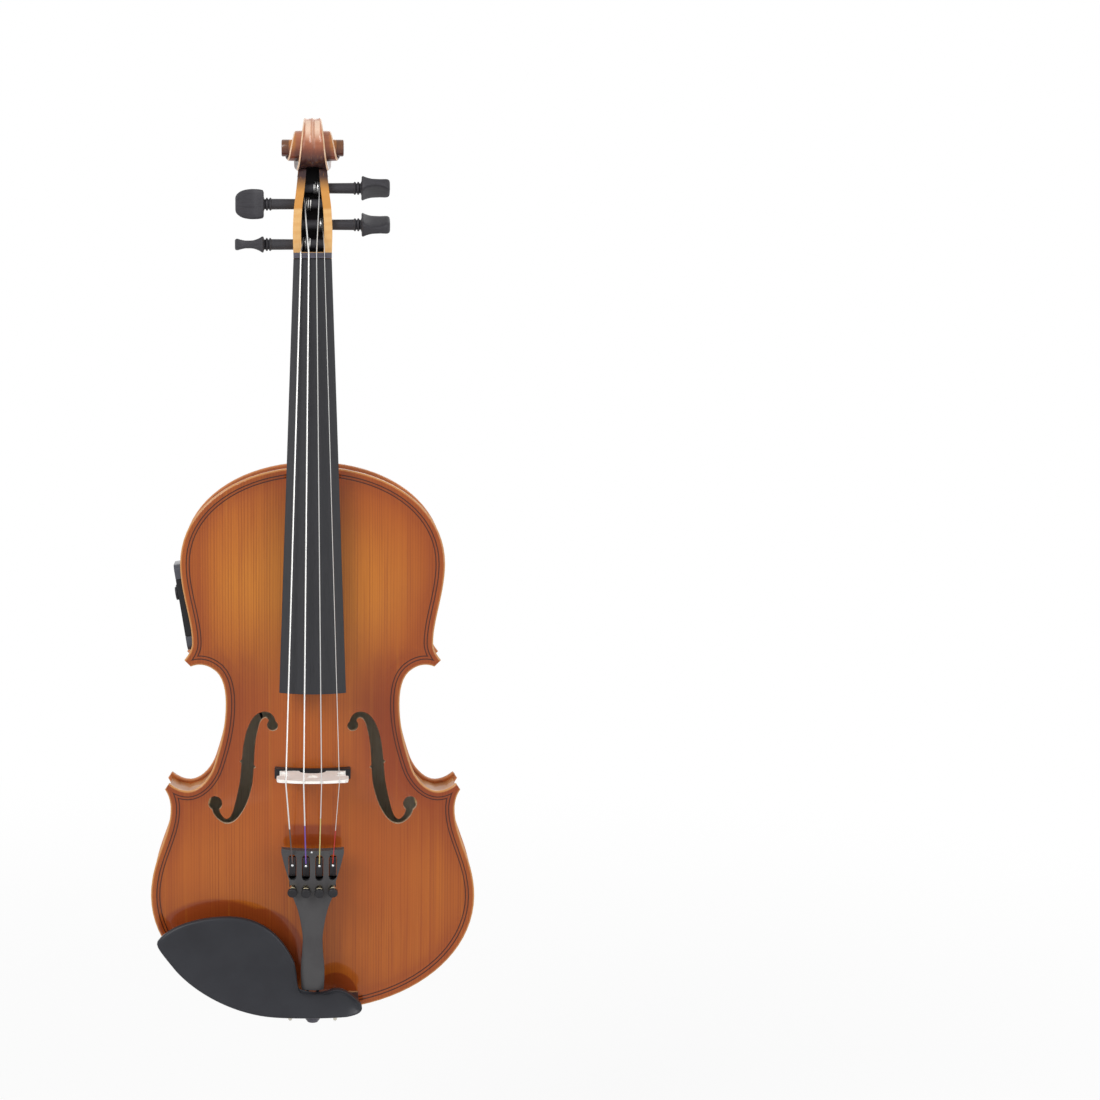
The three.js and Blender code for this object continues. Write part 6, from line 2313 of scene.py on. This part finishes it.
@dataclass(frozen=True)
class Studio:
    """A white room with a pale floor well below the hanging instrument, soft lamps and the camera."""

    lens: float = 75.5
    shift_x: float = 0.2158
    distance: float = 1.4666
    elevation: float = 7.3
    aim: Triple = (0.0, -0.0266, -0.2482)
    floor_level: float = -0.72
    floor_half: float = 6.0
    floor_white: Triple = (0.9, 0.9, 0.9)
    floor_fade: Pair = (0.75, 1.6)
    sky_strength: float = 0.42
    lamp_aim: Triple = (0, 0, -0.28)
    lamps: tuple[tuple[str, Triple, Pair, float], ...] = (
        ("key", (-1.3, -1.5, 0.9), (1.1, 1.1), 27.5),
        ("fill", (1.6, -1.2, 0.2), (1.2, 1.4), 13.5),
        ("back", (0.6, 1.7, 0.7), (1.2, 1.2), 6.0),
    )

    @staticmethod
    def _aim(made: bpy.types.Object, place: Vector, aim: Vector) -> None:
        """Places a lamp or camera and points it at its aim."""
        made.location = place
        made.rotation_euler = (aim - place).to_track_quat("-Z", "Y").to_euler()

    def _lamp(self, name: str, place: Triple, size: Pair, power: float) -> None:
        """Hangs one soft rectangular lamp.

        Args:
            name: The lamp's name.
            place: Where it hangs.
            size: Its width and height in metres.
            power: Its power in watts.
        """
        data = bpy.data.lights.new(name, "AREA")
        data.shape, data.size, data.size_y, data.energy = "RECTANGLE", size[0], size[1], power
        self._aim(add_object(name, data), Vector(place), Vector(self.lamp_aim))

    def _camera(self) -> None:
        """Sets the camera as the photograph's stood."""
        data = bpy.data.cameras.new("camera")
        data.lens, data.sensor_width, data.shift_x = self.lens, 36.0, self.shift_x
        camera = add_object("camera", data)
        tilt = math.radians(self.elevation)
        aim = Vector(self.aim)
        self._aim(camera, aim + Vector((0, -math.cos(tilt), math.sin(tilt))) * self.distance, aim)
        bpy.context.scene.camera = camera

    def _floor(self) -> None:
        """Lays the pale floor, which keeps a faint shadow."""
        mesh = bmesh.new()
        bmesh.ops.create_grid(mesh, x_segments=1, y_segments=1, size=self.floor_half)
        bmesh.ops.translate(mesh, vec=(0, 0, self.floor_level), verts=mesh.verts)
        floor = add_object("floor", as_data("floor", mesh))
        shade = Shade("floor_white")
        shade.feed({"Base Color": self.floor_white, "Roughness": 0.9})
        far = shade.node("ShaderNodeVectorMath", {"operation": "LENGTH"}, {0: shade.place}, "Value")
        share = self._white_where_seen(shade) * (far.span(*self.floor_fade) * 0.12 + 0.88)
        self._mixed(shade, share, shade.shader, "ShaderNodeEmission", "OUTPUT_MATERIAL")
        floor.data.materials.append(shade.material)

    @staticmethod
    def _white_where_seen(nodes: Nodes) -> Value:
        """Returns 1 for rays from the camera, and for mirrored and refracted ones.

        Args:
            nodes: The tree in which it is worked out.

        Returns:
            The share of white.
        """
        camera = nodes.node("ShaderNodeLightPath", {}, {}, "Is Camera Ray")
        mirrored = nodes.node("ShaderNodeLightPath", {}, {}, "Is Glossy Ray")
        through = nodes.node("ShaderNodeLightPath", {}, {}, "Is Transmission Ray")
        return camera.top(mirrored).top(through)

    @staticmethod
    def _mixed(nodes: Nodes, share: Value, shader: bpy.types.Node, glow: str, end: str) -> None:
        """Mixes plain white light into what a tree shows.

        Args:
            nodes: The tree.
            share: How much of the white is seen.
            shader: The node that lights the scene or takes its light.
            glow: The kind of node that gives the white.
            end: The kind of the tree's last node.
        """
        white = nodes.node(glow, {}, {"Color": WHITE, "Strength": 1.0})
        inputs = {0: share, 1: Value(nodes, shader.outputs[0]), 2: white}
        nodes.fill(nodes.found(end).inputs["Surface"], nodes.node("ShaderNodeMixShader", {}, inputs))

    def _sky(self) -> None:
        """Lights the room evenly and shows white behind the instrument."""
        world = bpy.data.worlds.new("room")
        bpy.context.scene.world = world
        world.use_nodes = True
        room = Nodes(world.node_tree)
        sky = room.found("BACKGROUND")
        room.fill(sky.inputs["Color"], WHITE)
        room.fill(sky.inputs["Strength"], self.sky_strength)
        self._mixed(room, self._white_where_seen(room), sky, "ShaderNodeBackground", "OUTPUT_WORLD")

    def build(self) -> None:
        """Sets the camera, the floor, the sky and the lamps."""
        self._camera()
        self._floor()
        self._sky()
        for lamp in self.lamps:
            self._lamp(*lamp)
        bpy.context.scene.view_settings.view_transform = "Standard"


def main() -> None:
    """Builds the instrument's sub-assemblies in order."""
    logging.basicConfig(level=logging.INFO, format="%(message)s")
    Studio().build()
    neck = Neck()
    Plates().build(neck.foot_room())
    neck.build([pitch.value[:2] for pitch in Pitch])
    Pegs(neck).build()
    Tail().build()
    Chinrest().build()
    KeptNodes().build()


if __name__ == "__main__":
    main()
